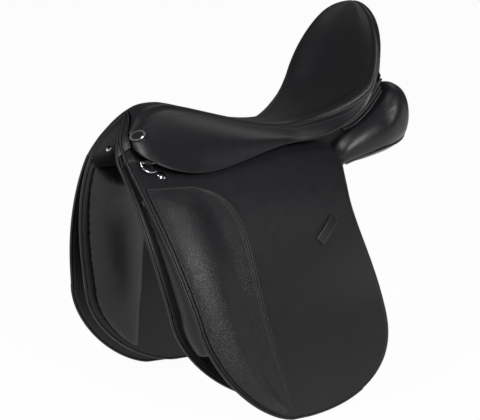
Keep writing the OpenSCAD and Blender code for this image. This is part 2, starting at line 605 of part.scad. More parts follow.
bar_x = point_front - 27.6;
bar_z = 47;
bar_plate_t = 2.5;
plate_room = 2.2;
bar_high = bar_plate_t + bar_room + bar_d/2;
eye_r = 5.5;
eye_t = 3.5;
catch_low = bar_high + bar_d/2 - eye_t;
module bar_place() {
    on_face(sweat(bar_x, bar_z, flank_room + point_t + plate_room), along, sweat_normal(bar_x, bar_z))
        children();
}
module stirrup_bar() {
    color(steel) bar_place() {
        translate([-bar_l/2 - 4, -6, 0]) cube([bar_l + 4, 12, bar_plate_t]);
        translate([bar_l/2 - 6, 0, 0]) cylinder(d = bar_d, h = bar_high);
        translate([bar_l/2 - 6, 0, bar_high]) sphere(d = bar_d);
        translate([bar_l/2 - 6, 0, bar_high]) rotate([0, -90, 0]) cylinder(d = bar_d, h = bar_l - 10);
        translate([-bar_l/2 - 2, 0, bar_high - bar_d/2]) cylinder(r = eye_r, h = eye_t);
        translate([-bar_l/2 - 2, -eye_r*0.7, bar_high - bar_d/2]) cube([10, eye_r*1.4, eye_t]);
        translate([-bar_l/2 - 2, 0, bar_high - bar_d/2]) cylinder(d = catch_pin_d, h = bar_d);
    }
}
module bar_catch() {
    color(steel) bar_place() translate([-bar_l/2 - 2, 0, catch_low]) difference() {
        union() {
            cylinder(r = eye_r, h = eye_t);
            translate([-15, -3, 0]) cube([15, 6, eye_t]);
            translate([-15, 0, 0]) cylinder(r = 3, h = eye_t);
        }
        translate([0, 0, -1]) cylinder(d = catch_pin_d + 2*pin_gap, h = eye_t + 2);
    }
}

dee_x = 208;
dee_z = 41;
chape_r = 4;
dee_high = chape_r + 1;
dee_drop = 5;
module dee_place() {
    on_face(flap(dee_x, dee_z, 2*gap), along, flap_normal(dee_x, dee_z)) children();
}
module dee_chape() {
    color(steel) dee_place() difference() {
        union() {
            translate([0, 0, dee_high]) rotate([0, 90, 0])
                cylinder(r = chape_r, h = dee_w*0.45, center = true);
            translate([-dee_w*0.225, -chape_r, 0]) cube([dee_w*0.45, chape_r*2, dee_high]);
        }
        translate([0, 0, dee_high]) rotate([0, 90, 0])
            cylinder(d = dee_wire + 2*pin_gap, h = dee_w, center = true);
    }
}
module dee_ring() {
    r = dee_w/2;
    color(steel) dee_place() translate([0, 0, dee_high]) {
        rotate([0, 90, 0]) cylinder(d = dee_wire, h = dee_w, center = true);
        for (s = [-1, 1]) translate([s*r, 0, 0]) {
            sphere(d = dee_wire);
            rotate([-90, 0, 0]) cylinder(d = dee_wire, h = dee_drop);
        }
        translate([0, dee_drop, 0]) rotate_extrude(angle = 180) translate([r, 0]) circle(d = dee_wire);
    }
}

nail_w_at = 0.055;
nail_room = 0.6;
module nail_plate() {
    p = skirt(nail_w_at, 0.55);
    x = unit(skirt(nail_w_at - 0.02, 0.55) - p);
    z = unit(cross(skirt(nail_w_at, 0.45) - p, x));
    color(steel) on_face(p + z*nail_room, x, z) {
        linear_extrude(1.5) scale([nail_l/nail_w, 1]) circle(d = nail_w);
        linear_extrude(2.5) scale([nail_l/nail_w, 1]) circle(d = nail_w*0.8);
    }
}

module dome(d) {
    color(steel) rotate_extrude() intersection() {
        translate([0, -d*0.6]) circle(r = d*0.78);
        square([d, d]);
    }
}
stud_x = 192;
stud_z = 26;
module flap_studs() {
    for (s = [0, 1]) mirror([0, s, 0])
        on_face(flap(stud_x, stud_z, gap + 0.4), along, flap_normal(stud_x, stud_z)) dome(stud_d);
}
// Studs inside the arch, each at a place along and across its facing
arch_stud_at = [0.085, 0.46];
module arch_studs() {
    t = arch_stud_at[0];
    c = arch_stud_at[1];
    p = arch_skin(t, c);
    out = unit(cross(arch_skin(t + 0.05, c) - p, arch_skin(t, c + 0.05) - p));
    for (s = [0, 1]) mirror([0, s, 0]) on_face(p + out*stud_room, along, out) dome(arch_stud_d);
}

module right() mirror([0, 1, 0]) children();

tree();
gullet_plate();
tree_points();
seat_web();
seat_foam();
seat_cover();
cantle_back();
pommel_facing();
arch_facing();
gullet_lining();
seat_welt();  // seat_welt_left
right() seat_welt();  // seat_welt_right
skirt_band();  // skirt_band_left
right() skirt_band();  // skirt_band_right
skirt_lobe();  // skirt_left
right() skirt_lobe();  // skirt_right
rear_facing();  // rear_facing_left
right() rear_facing();  // rear_facing_right
flap_head();  // flap_top_left
right() flap_head();  // flap_top_right
flap_leaf();  // flap_left
right() flap_leaf();  // flap_right
flap_piping();  // flap_piping_left
right() flap_piping();  // flap_piping_right
knee_patch();  // knee_patch_left
right() knee_patch();  // knee_patch_right
keeper();  // keeper_left
right() keeper();  // keeper_right
knee_block();  // knee_block_left
right() knee_block();  // knee_block_right
sweat_flap();  // sweat_flap_left
right() sweat_flap();  // sweat_flap_right
sweat_piping();  // sweat_piping_left
right() sweat_piping();  // sweat_piping_right
panel();  // panel_left
right() panel();  // panel_right
lower_pad();  // lower_pad_left
right() lower_pad();  // lower_pad_right
rear_panel();  // rear_panel_left
right() rear_panel();  // rear_panel_right
billet(billet_front_x);  // billet_front_left
right() billet(billet_front_x);  // billet_front_right
billet(billet_rear_x);  // billet_rear_left
right() billet(billet_rear_x);  // billet_rear_right
stirrup_bar();  // stirrup_bar_left
right() stirrup_bar();  // stirrup_bar_right
bar_catch();  // bar_catch_left
right() bar_catch();  // bar_catch_right
dee_chape();  // dee_chape_left
right() dee_chape();  // dee_chape_right
dee_ring();  // dee_ring_left
right() dee_ring();  // dee_ring_right
nail_plate();  // nail_plate_left
right() nail_plate();  // nail_plate_right
flap_studs();
arch_studs();
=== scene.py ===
import math
import bpy
import numpy as np
from mathutils import Matrix, Vector


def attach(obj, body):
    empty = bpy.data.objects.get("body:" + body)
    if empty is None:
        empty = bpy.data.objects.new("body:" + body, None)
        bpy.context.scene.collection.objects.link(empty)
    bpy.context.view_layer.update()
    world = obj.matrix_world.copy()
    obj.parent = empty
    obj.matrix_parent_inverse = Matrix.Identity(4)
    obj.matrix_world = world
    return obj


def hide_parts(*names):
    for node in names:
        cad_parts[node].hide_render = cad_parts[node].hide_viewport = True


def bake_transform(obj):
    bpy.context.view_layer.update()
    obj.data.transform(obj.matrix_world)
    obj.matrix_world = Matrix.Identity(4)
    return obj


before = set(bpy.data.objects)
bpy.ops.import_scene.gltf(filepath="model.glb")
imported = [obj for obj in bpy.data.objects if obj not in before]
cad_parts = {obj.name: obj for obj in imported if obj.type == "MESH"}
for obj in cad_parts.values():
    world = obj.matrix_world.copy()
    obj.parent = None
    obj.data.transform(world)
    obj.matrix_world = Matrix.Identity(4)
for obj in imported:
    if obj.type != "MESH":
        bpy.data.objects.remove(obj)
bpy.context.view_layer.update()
scene = bpy.context.scene
print("frame loaded")

# curves of the pattern, in millimetres as a saddler cuts them
def lerp(a, b, t):
    return a + (b - a)*t

def ease(t):
    t = np.clip(t, 0, 1)
    return t*t*(3 - 2*t)

def unit(v):
    return v/np.maximum(np.linalg.norm(v, axis=-1, keepdims=True), 1e-9)

def bez(p, t):
    p = np.asarray(p, float)
    t = np.asarray(t, float)[..., None]
    s = 1 - t
    return s**3*p[..., 0, :] + 3*s*s*t*p[..., 1, :] + 3*s*t*t*p[..., 2, :] + t**3*p[..., 3, :]

def heading(p, t):
    p = np.asarray(p, float)
    t = np.asarray(t, float)[..., None]
    s = 1 - t
    a, b, c = (p[..., k + 1, :] - p[..., k, :] for k in range(3))
    return unit(s*s*a + 2*s*t*b + t*t*c)

# curves joined end to end, with u from 0 to 1 along them all
def chain(curves, u):
    u, n = np.asarray(u, float), len(curves)
    k = np.clip((u*n).astype(int), 0, n - 1)
    return bez(np.asarray(curves, float)[k], u*n - k)

def corner(t, e):
    return (1 - np.clip(t, 0, 1)**e)**(1/e)

def swell(t):
    return np.maximum(np.sin(np.pi*np.clip(t, 0, 1)), 0)**0.6

def bow(a, h, b, t):
    t = np.asarray(t, float)[..., None]
    return (1 - t)**2*a + 2*t*(1 - t)*h + t*t*b

def stack(*parts):
    return np.stack(np.broadcast_arrays(*[np.asarray(p, float) for p in parts]), -1)

# main sizes that several pieces share
cut = {"flapT": 5, "flapDrop": 333, "flapFront": 234, "flapRear": 150, "flapTopZ": 46, "flapFootX": 40,
       "sweatT": 4, "sweatDrop": 314, "sweatFront": 240, "sweatRear": 96, "sweatTopZ": 58, "sweatFootX": 25,
       "splay": 40, "splayFrom": 215, "splayOver": 350, "under": 5.1, "coverT": 3,
       "pommelX": 200, "pommelZ": 125, "seatZ": 87, "cantleX": 213, "cantleZ": 268, "cantleHalf": 116}
flapCurve = np.array([[45, 63], [130, -22], [208, -149.85], [222, -330]], float)
sweatCurve = np.array([[28, 61], [122, -30], [128, -166.42], [148, -314]], float)
tTable = np.linspace(0, 1, 6001)
flapTable = bez(flapCurve, tTable)[:, 1]
sweatTable = bez(sweatCurve, tTable)[:, 1]

# the flanks stand further out to the rear
def slant(x, z, foot):
    return (cut["splayFrom"] - x)/cut["splayOver"]*lerp(foot, cut["splay"], ease((z + 200)/200))

# point at x and z on a flank, d outside it
def flank(curve, table, foot, x, z, d):
    x, z, d = np.broadcast_arrays(np.asarray(x, float), np.asarray(z, float), np.asarray(d, float))
    t = np.interp(-z, -table, tTable)
    q, h = bez(curve, t), heading(curve, t)
    return stack(x, q[..., 0] - h[..., 1]*d + slant(x, z, foot), q[..., 1] + h[..., 0]*d)

def flap(x, z, d):
    return flank(flapCurve, flapTable, -20, x, z, d)

def sweat(x, z, d):
    return flank(sweatCurve, sweatTable, 0, x, z, d)

flapFootZ = 3 - cut["flapDrop"]

# front and rear edges of flap and sweat flap
def flapFx(z):
    top, turn, turnX = cut["flapTopZ"], -176, cut["flapFront"] - 39
    high = lerp(turnX, cut["flapFront"], 1 - np.clip((top - z)/(top - turn), 0, 1)**1.3)
    low = lerp(cut["flapFootX"], turnX, corner((turn - z)/(turn - flapFootZ), 1.6))
    return np.where(z > turn, high, low)

def flapRx(z):
    waistZ, waistX, turn = -25, -98, -210
    high = waistX - 13*np.maximum((z - waistZ)/57, 0)**1.5
    middle = lerp(waistX, -cut["flapRear"], ease((waistZ - z)/(waistZ - turn)))
    low = lerp(cut["flapFootX"], -cut["flapRear"], corner((turn - z)/(turn - flapFootZ), 2.3))
    return np.where(z > waistZ, high, np.where(z > turn, middle, low))

def sweatFx(z):
    top, turn, turnX = cut["sweatTopZ"], -175, cut["sweatFront"] - 37
    high = lerp(turnX, cut["sweatFront"], 1 - np.clip((top - z)/(top - turn), 0, 1)**1.5)
    low = lerp(cut["sweatFootX"], turnX, corner((turn - z)/(turn + cut["sweatDrop"]), 1.7))
    return np.where(z > turn, high, low)

def sweatRx(z):
    turn = -225
    low = lerp(cut["sweatFootX"], -cut["sweatRear"], corner((turn - z)/(turn + cut["sweatDrop"]), 2.3))
    return np.where(z > turn, -cut["sweatRear"], low)

# rows that lie closer towards the foot
def down(top, foot, r):
    return lerp(foot, top, (1 - 0.99*r)**1.4)

pX, pZ, sZ = cut["pommelX"], cut["pommelZ"], cut["seatZ"]
cX, cZ, cW = cut["cantleX"], cut["cantleZ"], cut["cantleHalf"]
rimX, rimZ = 45 - cX, 143
midCurves = [[[pX, 0, pZ - 10], [pX - 8, 0, pZ - 2], [pX - 28, 0, pZ + 1], [pX - 50, 0, pZ]],
             [[pX - 50, 0, pZ], [pX - 105, 0, pZ - 8], [35, 0, sZ], [-50, 0, sZ]],
             [[-50, 0, sZ], [-100, 0, sZ], [rimX + 18, 0, rimZ - 39], [rimX - 6, 0, rimZ - 7]],
             [[rimX - 6, 0, rimZ - 7], [rimX - 28, 0, rimZ + 22], [2 - cX, 0, cZ - 53], [-cX, 0, cZ - 2]]]
seamCurves = [[[pX + 17, 29, pZ - 40], [pX, 34, pZ - 24], [pX - 22, 22, pZ - 8], [pX - 60, 19, pZ - 8]],
              [[pX - 60, 19, pZ - 8], [pX - 110, 19, pZ - 13], [0, 42, sZ - 7], [-60, 50, sZ - 5]],
              [[-60, 50, sZ - 5], [-90, 56, sZ - 4], [rimX + 18, cW - 4, rimZ - 31], [rimX, cW, rimZ]]]

def midLine(u):
    u = np.asarray(u, float)
    k = np.clip((4*u).astype(int), 0, 3)
    t = 4*u - k
    return bez(np.asarray(midCurves, float)[k], np.where(k == 3, 1 - (1 - t)**2, t))

def seam(u):
    u = np.asarray(u, float)
    side = chain(seamCurves, np.minimum(u/0.75, 1))
    a = np.pi/2*np.clip(4*u - 3, 0, 1)
    rim = stack(lerp(rimX, 1 - cX, np.sin(a)), cW*np.cos(a), lerp(rimZ, cZ, np.sin(a)))
    return np.where((u > 0.75)[..., None], rim, side)

# u runs from pommel to cantle, v from side to side
def seat(u, v, depth):
    u, v, depth = np.broadcast_arrays(np.asarray(u, float), np.asarray(v, float), np.asarray(depth, float))
    a = np.abs(v)[..., None]
    c, s = midLine(u), seam(u)
    h = stack(c[..., 0], 0.6*s[..., 1], c[..., 2] - 9*np.maximum(0, 1 - 6*u)**2)
    p = (1 - a)**2*c + 2*a*(1 - a)*h + a*a*s
    tip = np.radians(65*ease(2*u - 1))
    return stack(p[..., 0] - np.sin(tip)*depth, np.sign(v)*p[..., 1], p[..., 2] - np.cos(tip)*depth)

# tools of the bench
def clearSelection():
    if bpy.context.mode != "OBJECT":
        bpy.ops.object.mode_set(mode="OBJECT")
    bpy.ops.object.select_all(action="DESELECT")

def pick(piece):
    clearSelection()
    piece.select_set(True)
    bpy.context.view_layer.objects.active = piece

def applyModifier(piece, kind, **values):
    pick(piece)
    step = piece.modifiers.new("step", kind)
    for key, value in values.items():
        setattr(step, key, value)
    bpy.ops.object.modifier_apply(modifier=step.name)

def settle(piece, angle=40):
    pick(piece)
    bpy.ops.object.transform_apply(location=True, rotation=True, scale=True)
    bpy.ops.object.shade_smooth_by_angle(angle=math.radians(angle))

def coords(piece):
    co = np.empty(len(piece.data.vertices)*3)
    piece.data.vertices.foreach_get("co", co)
    return co.reshape(-1, 3)

def setCoords(piece, co):
    piece.data.vertices.foreach_set("co", np.asarray(co, float).ravel())
    piece.data.update()

def outwards(piece):
    pick(piece)
    bpy.ops.object.mode_set(mode="EDIT")
    bpy.ops.mesh.select_all(action="SELECT")
    bpy.ops.mesh.remove_doubles(threshold=1e-6)
    bpy.ops.mesh.normals_make_consistent(inside=False)
    bpy.ops.object.mode_set(mode="OBJECT")

def flatGrid(name, rows, cols):
    clearSelection()
    bpy.ops.mesh.primitive_grid_add(x_subdivisions=cols, y_subdivisions=rows, size=1)
    piece = bpy.context.object
    piece.name = piece.data.name = name
    return piece

# a grid laid on a curved pattern: place(r, c) gives the outer face
def layGrid(name, rows, cols, place):
    piece = flatGrid(name, rows, cols)
    co = coords(piece)
    setCoords(piece, place(0.5 - co[:, 1], co[:, 0] + 0.5)*0.001)
    return piece

def faceAway(piece, centre):
    mesh = piece.data
    mesh.update()
    centre = Vector(centre)*0.001
    total = sum((f.center - centre).dot(f.normal)*f.area for f in mesh.polygons)
    if total < 0:
        mesh.flip_normals()

def roundEdges(piece, width):
    applyModifier(piece, "BEVEL", width=width*0.001, segments=2, limit_method="ANGLE",
                  angle_limit=math.radians(50))

def thicken(piece, thickness):
    applyModifier(piece, "SOLIDIFY", thickness=thickness*0.001, offset=-1, use_even_offset=False)

# leather of even thickness with rounded cut edges
def cutHide(name, size, face, centre):
    piece = layGrid(name, size["rows"], size["cols"], face)
    faceAway(piece, centre)
    thicken(piece, size["thickness"])
    roundEdges(piece, size["bevel"])
    return piece

# short cloth run that lets the filling push the leather out, by no more than cap
clothFrames = 20
clothRun = {"quality": 5, "mass": 0.3, "tension_stiffness": 25, "compression_stiffness": 25,
            "shear_stiffness": 10, "bending_stiffness": 2, "use_pressure": True, "uniform_pressure_force": 3}

def puff(piece, cap):
    before = coords(piece)
    pick(piece)
    bpy.ops.object.modifier_add(type="CLOTH")
    cloth = piece.modifiers[-1]
    for key, value in clothRun.items():
        setattr(cloth.settings, key, value)
    cloth.settings.effector_weights.gravity = 0
    cloth.point_cache.frame_start, cloth.point_cache.frame_end = 1, clothFrames
    for number in range(1, clothFrames + 1):
        scene.frame_set(number)
    bpy.ops.object.modifier_apply(modifier=cloth.name)
    scene.frame_set(1)
    move = coords(piece) - before
    size = np.linalg.norm(move, axis=1, keepdims=True)
    setCoords(piece, before + move*np.minimum(1, cap*0.001/np.maximum(size, 1e-9)))

def stuff(piece, size):
    applyModifier(piece, "REMESH", mode="VOXEL", voxel_size=size["voxel"]*0.001)
    applyModifier(piece, "SMOOTH", factor=0.5, iterations=size["smooth"])
    puff(piece, size["puff"])
    applyModifier(piece, "SUBSURF", levels=1, render_levels=1)

# a left piece and its mirror image, each with the name and the sign of its side
def pair(piece):
    other = piece.copy()
    other.data = piece.data.copy()
    other.name = other.data.name = piece.name.replace("Left", "Right")
    scene.collection.objects.link(other)
    other.data.transform(Matrix.Scale(-1, 4, Vector((0, 1, 0))))
    other.data.flip_normals()
    return (piece, "left", 1), (other, "right", -1)

# round bead along a path of points
def bead(name, path, radius):
    clearSelection()
    bpy.ops.curve.primitive_bezier_curve_add()
    piece = bpy.context.object
    curve = piece.data
    curve.splines.clear()
    spline = curve.splines.new("POLY")
    spline.points.add(len(path) - 1)
    spline.points.foreach_set("co", np.c_[np.asarray(path)*0.001, np.ones(len(path))].ravel())
    curve.dimensions = "3D"
    curve.bevel_depth = radius*0.001
    curve.bevel_resolution = 3
    curve.use_fill_caps = True
    pick(piece)
    bpy.ops.object.convert(target="MESH")
    piece = bpy.context.object
    piece.name = piece.data.name = name
    outwards(piece)
    settle(piece, 60)
    return piece

# points at even steps along a path
def evenly(path, step):
    path = np.asarray(path, float)
    run = np.r_[0, np.cumsum(np.linalg.norm(np.diff(path, axis=0), axis=1))]
    places = np.arange(step/2, run[-1], step)
    return stack(*[np.interp(places, run, path[:, k]) for k in range(3)])

# corners of a path rounded off, with its ends kept
def eased(path, rounds=12):
    path = evenly(path, 2.0)
    for number in range(rounds):
        path[1:-1] = 0.25*path[:-2] + 0.5*path[1:-1] + 0.25*path[2:]
    return path

def normalsOf(place, a, b):
    e = 0.004
    return unit(np.cross(place(a + e, b) - place(a - e, b), place(a, b + e) - place(a, b - e)))

def turnedTo(axis, out):
    return np.where((out[:, axis] > 0)[:, None], out, -out)

# sewn rows: each stitch is a short tapered bar of thread, and a row is written as one mesh
thread = {"pitch": 3.4, "length": 2.5, "radius": 0.42, "proud": 0.12}

def sew(name, body, rows):
    ring = np.array([[0, math.cos(a), math.sin(a)] for a in np.arange(5)*2*math.pi/5])
    ends = ((-1, 0.45), (-0.6, 1), (0.6, 1), (1, 0.45))
    shape = np.concatenate([ring*[1, k, k] + [x, 0, 0] for x, k in ends])
    shape = shape*np.array([thread["length"]/2, thread["radius"], thread["radius"]])
    faces = [[4, 3, 2, 1, 0], [15, 16, 17, 18, 19]]
    for i in (0, 5, 10):
        faces += [[i + j, i + (j + 1) % 5, i + 5 + (j + 1) % 5, i + 5 + j] for j in range(5)]
    points, polygons = [], []
    for path, out in rows:
        spots = evenly(path, thread["pitch"])
        ahead = unit(np.gradient(spots, axis=0))
        at, known = np.linspace(0, 1, len(spots)), np.linspace(0, 1, len(out))
        up = unit(stack(*[np.interp(at, known, out[:, k]) for k in range(3)]))
        side = unit(np.cross(up, ahead))
        up = np.cross(ahead, side)
        for p, t, s, n in zip(spots, ahead, side, up):
            first = len(shape)*len(points)
            points.append(p + n*thread["proud"] + shape[:, :1]*t + shape[:, 1:2]*s + shape[:, 2:]*n)
            polygons += [[first + k for k in f] for f in faces]
    mesh = bpy.data.meshes.new(name)
    mesh.from_pydata((np.concatenate(points)*0.001).tolist(), [], polygons)
    piece = bpy.data.objects.new(name, mesh)
    scene.collection.objects.link(piece)
    settle(piece, 50)
    outwards(piece)
    bothSides(piece, blackThread, body, [], 50)

# finishes: a Value is an output of a node, and sums on it add Math nodes
class Value:
    def __init__(self, finish, socket):
        self.finish, self.socket = finish, socket

    def sum(self, operation, a, b):
        return self.finish.node("ShaderNodeMath", {"operation": operation}, {0: a, 1: b})

    def __add__(self, other):
        return self.sum("ADD", self, other)

    def __rsub__(self, other):
        return self.sum("SUBTRACT", other, self)

    def __mul__(self, other):
        return self.sum("MULTIPLY", self, other)

# the nodes of a material or of the world
class NodeBoard:
    def __init__(self, owner):
        owner.use_nodes = True
        self.tree = owner.node_tree

    def feed(self, socket, value):
        if isinstance(value, Value):
            self.tree.links.new(value.socket, socket)
        else:
            socket.default_value = value

    def node(self, kind, settings, inputs, out=0):
        made = self.tree.nodes.new(kind)
        for key, value in settings.items():
            setattr(made, key, value)
        for key, value in inputs.items():
            self.feed(made.inputs[key], value)
        return Value(self, made.outputs[out])

    # 1 for the kinds of ray that are named, such as what the camera sees
    def seen(self, names):
        rays = [self.node("ShaderNodeLightPath", {}, {}, "Is " + name + " Ray") for name in names]
        return sum(rays[1:], rays[0])

    def surface(self, outputName, share, plain, shown):
        mixed = self.node("ShaderNodeMixShader", {}, {0: share, 1: plain, 2: shown})
        self.feed(self.tree.nodes[outputName].inputs["Surface"], mixed)

class Finish(NodeBoard):
    def __init__(self, name, **sockets):
        self.material = bpy.data.materials.new(name)
        super().__init__(self.material)
        self.shader = self.tree.nodes["Principled BSDF"]
        self.set(**sockets)
        self.place = self.node("ShaderNodeTexCoord", {}, {}, "Object")

    def noise(self, scale, detail=3, rough=0.55):
        return self.node("ShaderNodeTexNoise", {}, {"Vector": self.place, "Scale": scale, "Detail": detail,
                                                     "Roughness": rough})

    def cells(self, scale, feature="F1"):
        return self.node("ShaderNodeTexVoronoi", {"feature": feature},
                         {"Vector": self.place, "Scale": scale}, "Distance")

    def colour(self, factor, dark, light):
        return self.node("ShaderNodeMix", {"data_type": "RGBA"}, {0: factor, 6: dark, 7: light}, 2)

    def set(self, **sockets):
        for key, value in sockets.items():
            self.feed(self.shader.inputs[key.replace("_", " ")], value)

    def bump(self, height, strength, distance):
        self.set(Normal=self.node("ShaderNodeBump", {}, {"Strength": strength, "Distance": distance,
                                                          "Height": height}))

# the four leathers: grain in cells a metre, its depth in millimetres
hides = {"flapHide": {"rough": 0.38, "grain": 950, "depth": 0.16, "wrinkle": 0.25, "coat": 0.06,
                      "light": (0.012, 0.012, 0.014, 1)},
         "seatHide": {"rough": 0.33, "grain": 1150, "depth": 0.1, "wrinkle": 0.3, "coat": 0.1},
         "panelHide": {"rough": 0.3, "grain": 1050, "depth": 0.12, "wrinkle": 0.5, "coat": 0.12},
         "pebbleHide": {"rough": 0.36, "grain": 430, "depth": 0.62, "wrinkle": 0.2, "coat": 0.05,
                        "light": (0.013, 0.013, 0.015, 1), "dark": (0.004, 0.004, 0.005, 1)}}

def hide(name, rough, grain, depth, wrinkle, coat, light=(0.011, 0.011, 0.013, 1),
         dark=(0.005, 0.005, 0.006, 1)):
    finish = Finish(name, Specular_IOR_Level=0.3, Coat_Roughness=0.3, IOR=1.5)
    broad, patchy = finish.noise(9, 3), finish.noise(60, 4)
    edges = finish.cells(grain, "DISTANCE_TO_EDGE")
    pores = finish.node("ShaderNodeMapRange", {}, {0: edges, 1: 0.0, 2: 0.22})
    fine = finish.noise(grain*2.2, 2)
    creases = finish.noise(150, 5, 0.62)
    finish.set(Base_Color=finish.colour(broad*0.55 + patchy*0.3 + pores*0.15, dark, light),
               Roughness=patchy*0.16 + (1 - pores)*0.1 + (rough - 0.1),
               Coat_Weight=coat)
    finish.bump(pores*0.6 + fine*0.25 + creases*wrinkle, 0.55, depth*0.001)
    return finish.material

flapHide, seatHide, panelHide, pebbleHide = (hide(name, **look) for name, look in hides.items())

def threadFinish():
    finish = Finish("blackThread")
    twist = finish.node("ShaderNodeTexWave", {},
                        {"Vector": finish.place, "Scale": 900.0, "Distortion": 2.0}, 1)
    finish.set(Base_Color=finish.colour(finish.noise(400), (0.02, 0.02, 0.022, 1), (0.06, 0.06, 0.064, 1)),
               Roughness=finish.noise(300)*0.2 + 0.4)
    finish.bump(twist, 0.3, 0.0001)
    return finish.material

def chromeFinish():
    finish = Finish("brightChrome", Metallic=1.0)
    smear = finish.noise(120, 4)
    finish.set(Base_Color=finish.colour(smear, (0.468, 0.477, 0.495, 1), (0.52, 0.53, 0.55, 1)),
               Roughness=smear*0.08 + 0.1)
    finish.bump(finish.noise(1500, 2), 0.04, 0.0001)
    return finish.material

# brushed steel and wood: noise drawn out along the piece
def streakFinish(name, stretch, detail, dark, light, rough, strength, distance, metal=0.0):
    finish = Finish(name, Metallic=metal)
    drawn = finish.node("ShaderNodeMapping", {}, {"Vector": finish.place, "Scale": stretch})
    streaks = finish.node("ShaderNodeTexNoise", {}, {"Vector": drawn, "Scale": 1.0, "Detail": detail})
    finish.set(Base_Color=finish.colour(streaks, dark, light), Roughness=streaks*0.2 + rough)
    finish.bump(streaks, strength, distance)
    return finish.material

def webFinish():
    finish = Finish("strainWeb")
    warp, weft = (finish.node("ShaderNodeTexWave", {"bands_direction": axis},
                              {"Vector": finish.place, "Scale": 110.0}, 1) for axis in "XY")
    finish.set(Base_Color=finish.colour(warp*0.5 + weft*0.5, (0.45, 0.42, 0.33, 1), (0.75, 0.71, 0.6, 1)),
               Roughness=finish.noise(200)*0.1 + 0.8)
    finish.bump(warp*weft, 0.5, 0.0006)
    return finish.material

def foamFinish():
    finish = Finish("seatFoam")
    pores = finish.cells(420)
    finish.set(Base_Color=finish.colour(pores, (0.55, 0.5, 0.36, 1), (0.85, 0.8, 0.65, 1)),
               Roughness=pores*0.1 + 0.85)
    finish.bump(pores, 0.5, 0.0008)
    return finish.material

blackThread, chrome, strainWeb, paleFoam = threadFinish(), chromeFinish(), webFinish(), foamFinish()
brushedBar = streakFinish("brushedBar", (60.0, 1800.0, 1800.0), 3.0, (0.36, 0.37, 0.38, 1),
                          (0.6, 0.61, 0.62, 1), 0.28, 0.15, 0.0001, 1.0)
treeWood = streakFinish("treeWood", (6.0, 90.0, 90.0), 5.0, (0.3, 0.18, 0.09, 1),
                        (0.6, 0.43, 0.26, 1), 0.35, 0.2, 0.0004)
print("finishes mixed")

# every finished piece comes through here
def finishPiece(piece, material, body, nodes=(), angle=40):
    settle(piece, angle)
    piece.data.materials.clear()
    piece.data.materials.append(material)
    if body:
        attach(piece, body)
    if nodes:
        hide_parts(*nodes)

def bothSides(piece, material, body, nodes=(), angle=40):
    for each, side, hand in pair(piece):
        finishPiece(each, material, body.format(side), [n + "_" + side for n in nodes], angle)

# points that the outer faces of the seat and of the flanks look away from
underSeat, insideFlank = (0, 0, -400), (60, 0, -150)

# seat cover, and the foam and web under it, which take a share of its length and width
seatCut = {"rows": 130, "cols": 96, "thickness": cut["coverT"], "bevel": 1.0, "roll": 7, "rollFrom": 0.2,
           "reach": 0.995}
foamCut = {"rows": 70, "cols": 30, "thickness": 6, "bevel": 2.0, "from": 0.125, "to": 0.73, "side": 0.8,
           "depth": cut["coverT"] + 0.5}
webCut = {"rows": 60, "cols": 24, "thickness": 2, "bevel": 0.4, "from": 0.22, "to": 0.8, "side": 0.49,
          "depth": 18.2}

# the padding rolls over towards the seam
def seatFace(r, c):
    u, v = seatCut["reach"]*r, 1 - 2*c
    near = np.clip((np.abs(v) - seatCut["rollFrom"])/(1 - seatCut["rollFrom"]), 0, 1)
    wide = np.where(r > 0.75, ease(seam(u)[..., 1]/75), 1)
    high = seatCut["roll"]*lerp(0.3, 1, ease((r - 0.4)/0.3))*ease(r/0.1)*wide
    return seat(u, v, -9.48*high*near**3*(1 - near))  # the peak of near**3*(1 - near) is 1/9.48

def seatLayer(size):
    ends, side = (size["from"], size["to"]), size["side"]
    return lambda r, c: seat(lerp(*ends, r), lerp(side, -side, c), size["depth"])

def makeSeat():
    piece = cutHide("seatCover", seatCut, seatFace, underSeat)
    finishPiece(piece, seatHide, "saddle", ["seat_cover"])
    foam = cutHide("seatFoamPad", foamCut, seatLayer(foamCut), underSeat)
    finishPiece(foam, paleFoam, "saddle", ["seat_foam"])
    web = cutHide("strainWebbing", webCut, seatLayer(webCut), underSeat)
    finishPiece(web, strainWeb, "saddle", ["seat_web"])
makeSeat()
print("seat covered")

# closed cushion between two faces of the same pattern
def between(name, rows, cols, outer, inner):
    piece = flatGrid(name, rows, cols)
    flat = len(piece.data.vertices)
    bpy.ops.object.mode_set(mode="EDIT")
    bpy.ops.mesh.select_all(action="SELECT")
    bpy.ops.mesh.extrude_region()
    bpy.ops.object.mode_set(mode="OBJECT")
    both = coords(piece)
    r, c = 0.5 - both[:, 1], both[:, 0] + 0.5
    under = (np.arange(len(both)) >= flat)[:, None]
    setCoords(piece, np.where(under, inner(r, c), outer(r, c))*0.001)
    outwards(piece)
    return piece

# points of a path moved onto a finished face, then lifted off it
def onto(piece, path, lift):
    bpy.context.view_layer.update()
    spots, outs = [], []
    for p in np.asarray(path)*0.001:
        spot, out = piece.closest_point_on_mesh(Vector(p))[1:3]
        spots.append(np.array(spot)*1000 + np.array(out)*lift)
        outs.append(np.array(out))
    return np.array(spots), np.array(outs)

def join(pieces, name):
    clearSelection()
    for each in pieces:
        each.select_set(True)
    bpy.context.view_layer.objects.active = pieces[0]
    bpy.ops.object.join()
    pieces[0].name = pieces[0].data.name = name
    return pieces[0]

# back of the cantle, the bridge below it and the roll round the edge of the seat
cantleCut = {"rows": 40, "cols": 84, "thickness": 3, "bevel": 0.8, "bulge": 6, "drop": 28}
bridgeCut = {"rows": 20, "cols": 60, "thickness": 2.5, "bevel": 0.6}
rollCut = {"from": 0.012, "to": 0.999, "radius": 2.6, "depths": (2.9, 2.2, 4.6), "tuck": (0.4, 1.2)}

